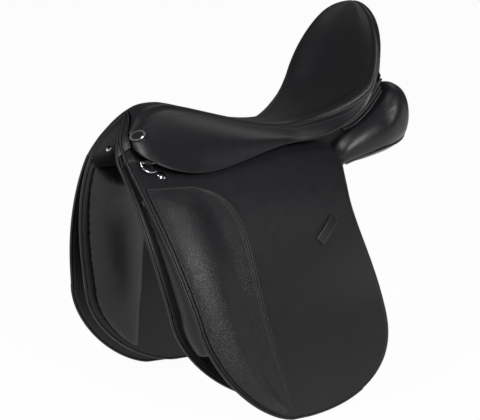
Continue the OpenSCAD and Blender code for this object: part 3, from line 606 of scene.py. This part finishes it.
def cantleFace(r, c):
    a = np.radians(lerp(170, 10, c))
    rim = stack(lerp(rimX, 1 - cX, np.sin(a)) - 6.6, (cW - 5)*np.cos(a), lerp(rimZ, cZ - 6, np.sin(a)))
    drop = rimZ + 4*np.sin(a) - cantleCut["drop"]*np.sin(a)**3
    foot = stack(lerp(rimX - 12, -cX - 12, np.sin(a)), (cW - 20)*np.cos(a), drop)
    out = stack(cantleCut["bulge"]*np.sin(np.pi*r)*np.sin(a) + 2*r, 0*r, 0*r)
    return lerp(rim, foot, np.asarray(r)[..., None]) - out

# closes the rear from the foot of the cantle back down between the panels
def bridgeFace(r, c):
    a = np.radians(lerp(166, 14, c))
    foot = stack(-205 - 23*np.sin(a), 70*np.cos(a), 73 + 12*np.cos(a)**2)
    top = cantleFace(0*c + 0.97, lerp(0.025, 0.975, c)) + [2, 0, 0]
    return bow(top, 0.5*(top + foot) - np.array([5, 0, 0]), foot, r)

def makeCantle():
    piece = cutHide("cantleBack", cantleCut, cantleFace, (0, 0, 150))
    finishPiece(piece, seatHide, "saddle", ["cantle_back"])
    bridge = cutHide("rearBridge", bridgeCut, bridgeFace, (0, 0, 110))
    finishPiece(bridge, seatHide, "saddle")
    u = np.linspace(rollCut["from"], rollCut["to"], 200)
    u, v = np.r_[u, u[::-1]], np.r_[1 + 0*u, -1 + 0*u]
    pommel, waist, rear = rollCut["depths"]
    rise = ease((u - 0.6)/0.16)
    deep = lerp(lerp(pommel, waist, ease((u - 0.25)/0.15)), rear, rise)
    path = seat(u, v, deep) - stack(0*u, lerp(*rollCut["tuck"], rise)*v, 0*u)
    finishPiece(bead("seatRoll", path, rollCut["radius"]), seatHide, "saddle", angle=60)
makeCantle()

# skirts: one hide from the seam over the fold to the hem
skirtCut = {"rows": 40, "cols": 130, "thickness": 4, "bevel": 0.9, "seamRoom": 4.2, "tuck": 18,
            "bend": (1.0, 11.0), "bendX": 90, "edge": 1.6, "welt": 2.0, "sewnAt": 13.0}
hemCurves = [[[220, 47, 65], [212, 98, 44], [165, 98, 29], [127, 98, 29]],
             [[127, 98, 29], [75, 98, 29], [10, 95, 61], [-50, 99, 65]],
             [[-50, 99, 65], [-105, 106, 71], [-145, 124, 92], [rimX - 22, cW - 2, rimZ + 9]]]
foldEnds = np.array([[229, 57, 76], [-50, 93, 70]], float)

def hem(w):
    return chain(hemCurves, w)

def foldAt(x):
    t = ((x - foldEnds[0, 0])/(foldEnds[1, 0] - foldEnds[0, 0]))[..., None]
    return lerp(foldEnds[0], foldEnds[1], t)

# the fold tucks in to the pommel in front of the part that lifts
def fold(w):
    tuck = skirtCut["tuck"]*np.maximum(0, 1 - np.asarray(w, float)/0.13)**1.5
    return foldAt(0.5*(seam(0.75*w)[..., 0] + hem(w)[..., 0])) - stack(0*tuck, tuck, 0*tuck)

# behind the lobe the skirt runs straight from seam to hem
def tailShare(w):
    return ease((w - 0.6)/0.1)[..., None]

def seamEdge(w, d):
    w = np.asarray(w, float)
    s = seam(0.75*w)
    e = lerp(fold(w), hem(w), tailShare(w))
    return s + unit(e - s)*np.asarray(d, float)[..., None]

def skirt(w, r):
    w, r = np.broadcast_arrays(np.asarray(w, float), np.asarray(r, float))
    reach = np.linalg.norm(hem(w) - seam(0.75*w), axis=-1)
    s, e, k = seamEdge(w, np.minimum(skirtCut["seamRoom"], 0.6*reach)), hem(w), fold(w)
    d = unit(e - s)
    above = bow(s, k - d*np.linalg.norm(k - s, axis=-1, keepdims=True)/2, k, np.minimum(r, 1))
    below = bow(k, k + d*np.linalg.norm(e - k, axis=-1, keepdims=True)/2, e, np.maximum(r - 1, 0))
    front = np.where((r < 1)[..., None], above, below)
    tail = bow(s, (s + e)/2 + np.array([0, 2, 2.]), e, r/2)
    return lerp(front, tail, tailShare(w))

foldLine = unit(foldEnds[0] - foldEnds[1])
hang = np.array([0, 0.53, -0.85])
foldOut = unit(hang - foldLine*np.dot(foldLine, hang))

def makeSkirts():
    piece = cutHide("skirtLeft", skirtCut, lambda r, c: skirt(c, 2*r), (0, 0, -60))
    w = np.linspace(0.0, 0.965, 160)
    out = turnedTo(1, normalsOf(skirt, w, 1.97 + 0*w))
    piece = join([piece, bead("skirtEdge", skirt(w, 2 + 0*w) - out*1.7, skirtCut["edge"])], "skirtLeft")
    for each, side, hand in pair(piece):
        finishPiece(each, seatHide, None, ["skirt_band_" + side, "skirt_" + side])
        start, end = (foldAt(np.array(float(skirtCut["bendX"]))) + foldOut*k for k in skirtCut["bend"])
        flip = np.array([1, hand, 1])*0.001
        "skirt_" + side
        tuple(start*flip)
        tuple(end*flip)
        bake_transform(each)
    w = np.linspace(0.01, 0.94, 120)
    welt = bead("seatWeltLeft", seamEdge(w, 2.3 + 0*w) - [0, 0, 2.6], skirtCut["welt"])
    bothSides(welt, seatHide, "saddle", ["seat_welt"], 60)
    w = np.linspace(0.015, 0.93, 200)
    reach = np.linalg.norm(np.where((w < 0.65)[:, None], fold(w), hem(w)) - seam(0.75*w), axis=-1)
    r = np.where(w < 0.65, 1, 2)*np.minimum(skirtCut["sewnAt"]/reach, 0.45)
    sew("skirtStitchLeft", "saddle", [(skirt(w, r), turnedTo(2, normalsOf(skirt, w, r)))])
makeSkirts()
print("skirts hung")

# flaps
flapCut = {"rows": 96, "cols": 64, "thickness": cut["flapT"], "bevel": 1.1, "rise": 15, "bend": (21, 9),
           "frontBead": 2.5, "rearBead": 1.5}

# the sewn top edge rises to the rear, where the skirt is short
def flapFace(r, c):
    z = down(cut["flapTopZ"] + flapCut["rise"]*ease((c - 0.4)/0.45), flapFootZ, r)
    edgeZ = np.minimum(z, cut["flapTopZ"])
    return flap(lerp(flapFx(edgeZ), flapRx(edgeZ), c), z, 0)

# path round the edge of a flank from its front top to its rear top, moved out of the edge
def edgePath(face, front, rear, zTop, zFoot, depth, out):
    zs = lerp(zFoot, zTop, (1 - np.linspace(0, 1, 70))**1.5)
    path = np.concatenate([face(front(zs), zs, -depth), face(rear(zs[::-1]), zs[::-1], -depth)])
    middle = face(np.array(60.0), np.array(0.55*zFoot), -depth)
    ahead = unit(np.gradient(path, axis=0))
    away = path - middle
    return path + unit(away - ahead*np.sum(away*ahead, axis=1, keepdims=True))*out

def makeFlaps():
    piece = cutHide("flapLeft", flapCut, flapFace, insideFlank)
    path = edgePath(flap, flapFx, flapRx, cut["flapTopZ"] - 1, flapFootZ + 0.5, cut["flapT"]/2, 2.2)
    half = len(path)//2 + 12
    piping = bead("flapPiping", path[:half], flapCut["frontBead"])
    edge = bead("flapEdge", path[half - 1:-2], flapCut["rearBead"])
    piece = join([piece, piping, edge], "flapLeft")
    for each, side, hand in pair(piece):
        nodes = [n + side for n in ("flap_top_", "flap_", "flap_piping_")]
        finishPiece(each, flapHide, None, nodes)
        "flap_" + side
        [(0, hand*0.11, z*0.001) for z in flapCut["bend"]]
        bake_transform(each)
makeFlaps()

# grained patch with its padded ridge
patchCut = {"rows": 84, "cols": 44, "room": 0.5, "thickness": 3.2, "bevel": 1.2, "ridge": 8,
            "sewn": (4.5, 8.5), "welt": 1.7}
patchBack = np.array([[178, 10], [35, -4], [133, -76], [38, -331]], float)
patchTable = bez(patchBack, tTable)

def patchSpot(r, c, d):
    z = down(8, flapFootZ + 8, r*(0.35 + 0.65*r))
    back = np.interp(-z, -patchTable[:, 1], patchTable[:, 0])
    return flap(lerp(flapFx(z) - 4, back, c), z, d)

def patchHeight(r, c):
    ridge = np.sin(np.pi*np.minimum(c/0.75, 1))**2*ease(6*r)*ease(9*(1 - r))
    return patchCut["room"] + patchCut["thickness"] + patchCut["ridge"]*ridge

def makePatches():
    piece = between("kneePatchLeft", patchCut["rows"], patchCut["cols"],
                    lambda r, c: patchSpot(r, c, patchHeight(r, c)), lambda r, c: patchSpot(r, c, 0.2))
    roundEdges(piece, patchCut["bevel"])
    bothSides(piece, pebbleHide, "flap_{}", ["knee_patch"], 40)
    face = patchCut["room"] + patchCut["thickness"]
    high = face - 0.6
    c, r = np.linspace(0, 1, 90), np.linspace(0.004, 1, 240)
    path = np.r_[patchSpot(0*c + 0.002, c, high), patchSpot(r, 1 + 0*r, high)]
    welt = bead("patchWeltLeft", eased(path, 6), patchCut["welt"])
    bothSides(welt, flapHide, "flap_{}", [], 60)
    r, c = np.linspace(0.03, 0.985, 240), np.linspace(0.06, 0.99, 120)
    edge = patchSpot(r, 1 + 0*r, face)
    inwards = unit(patchSpot(r, 0.98 + 0*r, face) - edge)
    paths = [edge + inwards*inset for inset in patchCut["sewn"]] + [patchSpot(0*c + 0.012, c, 4)]
    sew("patchStitchLeft", "flap_{}", [onto(piece, path, 0.1) for path in paths])
makePatches()

# leather keeper for the girth's surcingle
keeperCut = {"rows": 12, "cols": 48, "thickness": 2.4, "bevel": 0.7, "x": -50, "z": -65,
             "turn": math.radians(47), "length": 50, "width": 15, "lift": 3.2}

def keeperSpot(r, c, d):
    s, w = (c - 0.5)*keeperCut["length"], (r - 0.5)*keeperCut["width"]
    along, across = math.cos(keeperCut["turn"]), math.sin(keeperCut["turn"])
    lift = keeperCut["lift"]*np.sin(np.pi*np.clip((c - 0.06)/0.88, 0, 1))**0.7
    return flap(keeperCut["x"] - s*along - w*across, keeperCut["z"] + s*across - w*along, d + lift + 0.3)

def makeKeepers():
    thick = keeperCut["thickness"]
    piece = cutHide("keeperLeft", keeperCut, lambda r, c: keeperSpot(r, c, thick), insideFlank)
    bothSides(piece, flapHide, "flap_{}", ["keeper"])
    wide, long = np.linspace(0.1, 0.9, 20), np.linspace(0.05, 0.95, 20)
    ring = np.r_[stack(wide, 0.05), stack(0.9, long), stack(wide[::-1], 0.95), stack(0.1, long[::-1])]
    path = keeperSpot(ring[:, 0], ring[:, 1], thick)
    sew("keeperStitchLeft", "flap_{}", [onto(piece, path, 0.05)])
makeKeepers()
print("flaps dressed")

# sweat flaps and what is sewn on them
sweatCut = {"rows": 84, "cols": 44, "thickness": cut["sweatT"], "bevel": 1.0, "sewnAt": 9, "frontTop": 37}

# the head is cut lower in front, where the facing of the arch is sewn
def sweatFace(r, c):
    z = down(lerp(sweatCut["frontTop"], cut["sweatTopZ"], ease((c - 0.2)/0.2)), -cut["sweatDrop"], r)
    return sweat(lerp(sweatFx(z), sweatRx(z), c), z, 0)

def makeSweatFlaps():
    piece = cutHide("sweatFlapLeft", sweatCut, sweatFace, insideFlank)
    bothSides(piece, flapHide, "saddle", ["sweat_flap"])
    z = np.linspace(-250, 30, 200)
    x = sweatFx(z) - sweatCut["sewnAt"]
    path = sweat(x, z, 0)
    sew("sweatStitchLeft", "saddle", [(path, sweat(x, z, 1) - path)])
makeSweatFlaps()

# knee blocks fill the room between sweat flap and flap
blockCut = {"rows": 40, "cols": 22, "top": -6, "foot": -236, "room": 5.5, "voxel": 4, "smooth": 5, "puff": 2}

def blockBase(r, c):
    z = lerp(blockCut["top"], blockCut["foot"], r)
    return sweat(lerp(sweatFx(z) - 5, lerp(165, 118, r), c), z, 0.3)

def blockFace(r, c):
    p = blockBase(r, c)
    q = flap(p[..., 0], p[..., 2], -cut["flapT"])
    full = 0.3 + 0.7*swell(c)*swell(r)
    return stack(p[..., 0], lerp(p[..., 1], q[..., 1] - blockCut["room"], full), p[..., 2])

def makeBlocks():
    piece = between("kneeBlockLeft", blockCut["rows"], blockCut["cols"], blockFace, blockBase)
    stuff(piece, blockCut)
    bothSides(piece, panelHide, "saddle", ["knee_block"], 60)
makeBlocks()
print("knee blocks stuffed")

# panels: the flocked cushion along the back, full at its rear
panelCut = {"front": 188, "join": -114, "top": 50, "foot": -46, "frontFoot": 35, "edge": 8, "crown": 15,
            "rear": 243, "round": 0.92, "gusset": 10, "voxel": 4, "smooth": 6, "puff": 2.5,
            "sections": [[40, 23, 75, 38, -18], [42, 30, 83, 52, -8], [44, 36, 88, 62, 5],
                         [44, 42, 90, 74, 9], [45, 53, 88, 91, 5], [42, 48, 87, 94, 1],
                         [33, 38, 86, 94, 0], [6, 7, 85, 93, 0]]}

def panelSpot(r, c, inner):
    x = lerp(panelCut["front"], panelCut["join"], c)
    foot = lerp(panelCut["foot"], panelCut["frontFoot"], ease((x - 60)/37))
    thick = panelCut["edge"] + panelCut["crown"]*swell(r)*swell(lerp(0.02, 0.75, c))**0.7
    return sweat(x, lerp(panelCut["top"], foot, r), -cut["under"] - inner*thick)

# smooth run through the rear sections: half width, half height, y, z and tilt
def rearSection(u):
    rows = np.array(panelCut["sections"], float)
    s = np.clip(u, 0, 1)*(len(rows) - 1)
    i = np.minimum(s.astype(int), len(rows) - 2)
    t = (s - i)[:, None]
    a, b, c, d = (rows[np.clip(i + k, 0, len(rows) - 1)] for k in (-1, 0, 1, 2))
    return 0.5*(2*b + (c - a)*t + (2*a - 5*b + 4*c - d)*t*t + (3*b - a - 3*c + d)*t**3)

def rearSpot(u, a):
    q = rearSection(u)
    close = np.sqrt(np.clip(u/0.06, 0, 1))*np.sqrt(np.clip((1 - u)/0.004, 0, 1))
    wide, high = (q[:, k]*close*np.sign(f)*np.abs(f)**panelCut["round"]
                  for k, f in ((0, np.cos(a)), (1, np.sin(a))))
    tilt = np.radians(q[:, 4])
    x = lerp(panelCut["join"] + 14, -panelCut["rear"], np.sin(np.pi/2*u))
    y = q[:, 2] + wide*np.cos(tilt) - high*np.sin(tilt)
    return stack(x, y, q[:, 3] + wide*np.sin(tilt) + high*np.cos(tilt))

def makePanels():
    piece = between("panelLeft", 24, 80, lambda r, c: panelSpot(r, c, 0), lambda r, c: panelSpot(r, c, 1))
    clearSelection()
    bpy.ops.mesh.primitive_uv_sphere_add(segments=56, ring_count=40, radius=1)
    rear = bpy.context.object
    co = coords(rear)
    u, a = np.arccos(np.clip(co[:, 2], -1, 1))/np.pi, np.arctan2(co[:, 1], co[:, 0])
    setCoords(rear, rearSpot(u, a)*0.001)
    outwards(rear)
    piece = join([piece, rear], "panelLeft")
    stuff(piece, panelCut)
    bothSides(piece, panelHide, "saddle", ["panel", "rear_panel"], 60)
    u = np.linspace(0.1, 0.9, 100)
    low = np.arcsin(np.clip(panelCut["gusset"]/rearSection(u)[:, 1] - 1, -0.97, 0))
    path = onto(piece, rearSpot(u, low), 0.8)[0]
    seamBead = bead("gussetSeamLeft", eased(path, 20), 1.5)
    bothSides(seamBead, panelHide, "saddle", [], 60)
makePanels()

# lower pads inside the sweat flaps
padCut = {"rear": 105, "top": 32, "foot": -283, "edge": 4, "crown": 17, "head": 5, "seamAt": 0.24,
          "voxel": 2.6, "smooth": 5, "puff": 2}

def padSpot(r, c, inner):
    z = lerp(padCut["top"], padCut["foot"], r)
    full = np.where(r < 0.5, 1 - (1 - np.clip(r/0.07, 0, 1))**2, swell(r))
    thick = padCut["edge"] + (padCut["crown"] + padCut["head"]*(1 - ease(r/0.3)))*np.sin(np.pi*c)**0.75*full
    return sweat(lerp(sweatFx(z) - 8, padCut["rear"], c), z, -cut["under"] - inner*thick)

def makePads():
    piece = between("lowerPadLeft", 60, 24, lambda r, c: padSpot(r, c, 0), lambda r, c: padSpot(r, c, 1))
    stuff(piece, padCut)
    bothSides(piece, panelHide, "saddle", ["lower_pad"], 60)
    r = np.linspace(0.04, 0.97, 90)
    path = onto(piece, padSpot(r, padCut["seamAt"] + 0*r, 1), 0.1)[0]
    welt = bead("padSeamLeft", path, 0.9)
    bothSides(welt, panelHide, "saddle", [], 60)
makePads()
print("panels flocked")

# lining of the channel, facing of the arch and of the rear
liningCut = {"rows": 90, "cols": 30, "thickness": 3, "bevel": 0.6, "front": 176, "rear": -238, "rise": 8}
archCut = {"rows": 80, "cols": 10, "thickness": 3, "bevel": 0.9}
apronCut = {"rows": 16, "cols": 24, "thickness": 2.5, "bevel": 0.8}
rearCut = {"rows": 12, "cols": 50, "thickness": 2, "bevel": 0.5, "weltRadius": 2.3,
           "welts": {"rearWeltUpperLeft": (-3, -2.5, -5), "rearWeltLowerLeft": (-6, -3.5, -11)}}
tailCut = {"rows": 17, "cols": 14, "thickness": 2, "bevel": 0.5,
           "tops": ((-188, 112, 157), (-189, 103, 167))}

def liningFace(r, c):
    x = lerp(liningCut["front"], liningCut["rear"], r)
    s = 1 - 2*c
    p = sweat(x, 50, -12.8)
    tail = lerp(np.array([37, 46.]), np.array([40.5, 72.]), np.clip((-114 - x)/124, 0, 1)[..., None])
    e = lerp(stack(p[..., 1], p[..., 2] + 3), tail, ease((-94 - x)/20)[..., None])
    return stack(x, e[..., 0]*s, e[..., 1] + liningCut["rise"]*(1 - s*s))

archCurve = np.array([[240, 39, 48], [236, 27, 66], [218, 14, 95], [202, 0, 108]], float)
archBack = np.array([[184, 44, 52], [184, 36, 68], [184, 18, 87.7], [184, 0, 87.7]], float)
browCut = {"rows": 120, "cols": 14, "thickness": 2.2, "bevel": 0.7, "room": 1.0, "turn": 0.35,
           "out": unit(np.array([0.9, 0, 0.35])),
           "cords": {"archCord": 2.5, "flapCord": 2.5, "browCord": 1.6}}

# both halves of a curve that runs from the left side up to the middle
def over(t, half):
    t = np.asarray(t, float)
    return half(np.where(t < 0.5, 2*t, 2 - 2*t))*stack(1 + 0*t, np.where(t < 0.5, 1, -1), 1 + 0*t)

def archFace(r, c):
    away = np.asarray(c)[..., None]
    return over(lerp(-0.02, 1.02, r),
                lambda t: lerp(bez(archCurve, t) - [1.2, 0, 0], bez(archBack, t), away))

# closes the arch below its facing, down to the top of the pad
def apronFace(r, c):
    x = lerp(sweatFx(np.array(33.0)) - 4, 184, c)
    foot = sweat(x, 34, -10.6)
    top = archFace(0*c + 0.03, lerp(0.02, 1, c)) - [0, 0.4, 0]
    return bow(top, top + np.array([0, 5.5, -9]), foot, r)

# front edge of the skirt, then of the seat, from the flap up to the middle
def brow(t):
    turn = browCut["turn"]
    side = skirt(0*t, np.clip(2 - 2*t/turn, 0, 2))
    top = seat(0*t, np.clip((1 - t)/(1 - turn), 0, 1), 0)
    return np.where((t < turn)[..., None], side, top)

def browFace(r, c, lift=0.0):
    away = np.asarray(c)[..., None]
    spot = over(r, lambda t: lerp(brow(t) - [0, 0, 1], bez(archCurve, t), away))
    return spot + browCut["out"]*(browCut["room"] + browCut["thickness"] + lift)

def rearFace(r, c):
    w = lerp(0.7, 0.985, c)
    return hem(w) + stack(-2 - 6*r, -lerp(17, 5, ease((w - 0.72)/0.09)) - 19*r, -2 - 38*r)

# small gusset from the end of the rear facing to the bridge
# its top quarter reaches up under the tail of the skirt
def tailFace(r, c):
    up, low = np.clip(1 - 4*r, 0, 1)[..., None], np.clip((4*r - 1)/3, 0, 1)
    outerTop, innerTop = np.array(tailCut["tops"])
    outer = lerp(rearFace(low, 0*c + 0.97), outerTop, up)
    inner = lerp(bridgeFace(low, 0*c + 0.985), innerTop, up)
    return lerp(outer, inner, lerp(-0.02, 1.02, c)[..., None])

# cords that fan from the arch: one runs on round the sweat flaps, one meets the piping of the flaps
def makeCords():
    edge = edgePath(sweat, sweatFx, sweatRx, 44, -cut["sweatDrop"] + 0.6, cut["sweatT"]/2, 2.2)
    edge = edge[:len(edge)//2 + 14]
    r = np.linspace(0.06, 0.94, 120)
    arch = over(r, lambda t: bez(archCurve, t)) + browCut["out"]*2.4
    flip = np.array([1, -1, 1])
    finger = flap(cut["flapFront"] + 2.0, np.linspace(45, 53, 5), -cut["flapT"]/2)
    inner, outer = np.linspace(0.13, 0.87, 110), np.linspace(0.02, 0.98, 150)
    middle = browFace(inner, 0.62 + 0*inner, 1.2)
    paths = {"archCord": (np.r_[edge[::-1], arch, edge*flip], ["sweat_piping_left", "sweat_piping_right"]),
             "flapCord": (np.r_[finger, middle, finger[::-1]*flip], []),
             "browCord": (browFace(outer, 0.05 + 0*outer, 0.4), [])}
    for name, (path, nodes) in paths.items():
        cord = bead(name, eased(path), browCut["cords"][name])
        finishPiece(cord, flapHide, "saddle", nodes, 60)

def makeFacings():
    lining = cutHide("gulletLining", liningCut, liningFace, underSeat)
    finishPiece(lining, panelHide, "saddle", ["gullet_lining"])
    arch = cutHide("archFacing", archCut, archFace, (210, 0, 2000))
    finishPiece(arch, flapHide, "saddle", ["arch_facing"])
    apron = cutHide("archApronLeft", apronCut, apronFace, (210, 200, 60))
    bothSides(apron, flapHide, "saddle")
    facing = cutHide("pommelFacing", browCut, lambda r, c: browFace(lerp(0.01, 0.99, r), c), (0, 0, 0))
    finishPiece(facing, flapHide, "saddle", ["pommel_facing"])
    makeCords()
    rear = cutHide("rearFacingLeft", rearCut, rearFace, (-150, 0, 90))
    bothSides(rear, flapHide, "saddle", ["rear_facing"])
    tail = cutHide("tailGussetLeft", tailCut, tailFace, (-150, 40, 110))
    bothSides(tail, seatHide, "saddle")
    w = np.linspace(0.81, 0.985, 60)
    fan = ease((w - 0.72)/0.16)[:, None]
    for name, shift in rearCut["welts"].items():
        path = hem(w) + np.array(shift)*fan - [0, 3*(1 - fan[0, 0]), 0]
        bothSides(bead(name, path, rearCut["weltRadius"]), flapHide, "saddle", [], 60)
makeFacings()

# girth straps with their punched holes
strapCut = {"rows": 90, "cols": 10, "thickness": 3.5, "bevel": 0.6, "width": 25, "length": 330, "top": 40,
            "off": 3, "hole": 5, "first": 30, "pitch": 22, "count": 7, "xs": {"front": 62, "rear": -38}}

def makeStraps():
    for name, x0 in strapCut["xs"].items():
        def strapFace(r, c):
            z = strapCut["top"] - strapCut["length"]*r
            p = sweat(x0 + 0*z, z, strapCut["off"] + strapCut["thickness"])
            taper = 1 - 0.55*ease((r - 0.955)/0.045)
            return p + stack((0.5 - c)*strapCut["width"]*taper, 0*z, 0*z)
        piece = layGrid("girthStrap" + name.title() + "Left", strapCut["rows"], strapCut["cols"], strapFace)
        faceAway(piece, insideFlank)
        thicken(piece, strapCut["thickness"])
        cutters = []
        for k in range(strapCut["count"]):
            z = strapCut["top"] - strapCut["length"] + strapCut["first"] + strapCut["pitch"]*k
            p = sweat(np.array(float(x0)), np.array(float(z)), strapCut["off"] + 1.7)*0.001
            clearSelection()
            bpy.ops.mesh.primitive_cylinder_add(vertices=20, radius=strapCut["hole"]*0.0005, depth=0.03,
                                                location=tuple(p), rotation=(math.pi/2, 0, 0))
            cutters.append(bpy.context.object)
        punch = join(cutters, "punch")
        applyModifier(piece, "BOOLEAN", operation="DIFFERENCE", object=punch, solver="EXACT")
        bpy.data.objects.remove(punch)
        roundEdges(piece, strapCut["bevel"])
        bothSides(piece, flapHide, "billet_" + name + "_{}", ["billet_" + name])
makeStraps()
print("straps cut")

# metal and wood that stay as machined
def dress(names, material):
    for name in names:
        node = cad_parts[name]
        node.data.materials.clear()
        node.data.materials.append(material)

# blank dark field inside a bright oval rim, on the plate's own axes
plateCut = {"long": 12.5, "short": 9.0, "field": 0.58}

def plateFinish(node):
    finish = Finish(node.name + "Plate")
    spots = coords(node)
    centre = (spots.min(0) + spots.max(0))/2
    axes = np.linalg.svd(spots - spots.mean(0), full_matrices=False)[2]
    local = finish.node("ShaderNodeVectorMath", {"operation": "SUBTRACT"},
                        {0: finish.place, 1: tuple(centre)})
    along, across = (finish.node("ShaderNodeVectorMath", {"operation": "DOT_PRODUCT"},
                                 {0: local, 1: tuple(axis/(size*0.001))}, 1)
                     for axis, size in zip(axes, (plateCut["long"], plateCut["short"])))
    field = plateCut["field"]
    rim = finish.node("ShaderNodeMapRange", {}, {0: along*along + across*across, 1: field, 2: field + 0.06})
    finish.set(Base_Color=finish.colour(rim, (0.01, 0.01, 0.011, 1), (0.6, 0.61, 0.63, 1)), Metallic=rim,
               Roughness=finish.noise(200)*0.06 + 0.14)
    return finish.material

dress(["flap_studs", "arch_studs"], chrome)
dress(["gullet_plate"], brushedBar)
dress(["tree", "tree_points"], treeWood)
for side in ("_left", "_right"):
    dress(["dee_ring" + side], chrome)
    dress(["dee_chape" + side], flapHide)
    dress(["stirrup_bar" + side, "bar_catch" + side], brushedBar)
    dress(["nail_plate" + side], plateFinish(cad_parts["nail_plate" + side]))
print("fittings polished")

# studio
studio = {"camera": (1.5014, 2.2555, 0.3856), "target": (0, 0, -0.0528), "lens": 131.65, "floorZ": -0.3345,
          "lamps": {"key": ((0.5, 2.6, 1.15), 1.0, 60), "fill": ((2.1, 0.6, 2.1), 1.0, 42),
                    "rear": ((-2.4, 1.3, 0.35), 0.9, 4), "top": ((-1.2, -0.6, 2.4), 1.2, 6)},
          "glow": 0.97, "worldLight": 0.12}

def aim(thing, target):
    thing.rotation_euler = (Vector(target) - thing.location).to_track_quat("-Z", "Y").to_euler()

def makeStudio():
    clearSelection()
    bpy.ops.object.camera_add(location=studio["camera"])
    camera = bpy.context.object
    camera.data.lens, camera.data.sensor_width = studio["lens"], 36
    camera.data.clip_end = 50
    aim(camera, studio["target"])
    scene.camera = camera
    for name, (place, size, power) in studio["lamps"].items():
        bpy.ops.object.light_add(type="AREA", location=place)
        lamp = bpy.context.object
        lamp.name = name
        lamp.data.shape, lamp.data.size, lamp.data.energy = "SQUARE", size, power
        aim(lamp, (0, 0, 0))
    bpy.ops.mesh.primitive_plane_add(size=30, location=(0, 0, studio["floorZ"]))
    floor = bpy.context.object
    floor.name = "floor"
    bpy.ops.object.transform_apply(location=True)
    paper = Finish("paper", Roughness=0.8)
    paper.set(Base_Color=paper.colour(paper.noise(4), (0.86, 0.86, 0.86, 1), (0.9, 0.9, 0.9, 1)))
    glow = paper.node("ShaderNodeEmission", {}, {"Color": (1, 1, 1, 1), "Strength": 1.0})
    share = paper.seen(["Camera", "Glossy", "Transmission"])*studio["glow"]
    paper.surface("Material Output", share, Value(paper, paper.shader.outputs[0]), glow)
    floor.data.materials.append(paper.material)
    scene.world = bpy.data.worlds.new("studioWorld")
    sky = NodeBoard(scene.world)
    back = sky.tree.nodes["Background"]
    sky.feed(back.inputs["Color"], (1, 1, 1, 1))
    sky.feed(back.inputs["Strength"], studio["worldLight"])
    white = sky.node("ShaderNodeBackground", {}, {"Color": (1, 1, 1, 1), "Strength": 1.0})
    sky.surface("World Output", sky.seen(["Camera"]), Value(sky, back.outputs[0]), white)
    scene.view_settings.view_transform = "Standard"
makeStudio()
print("studio lit")
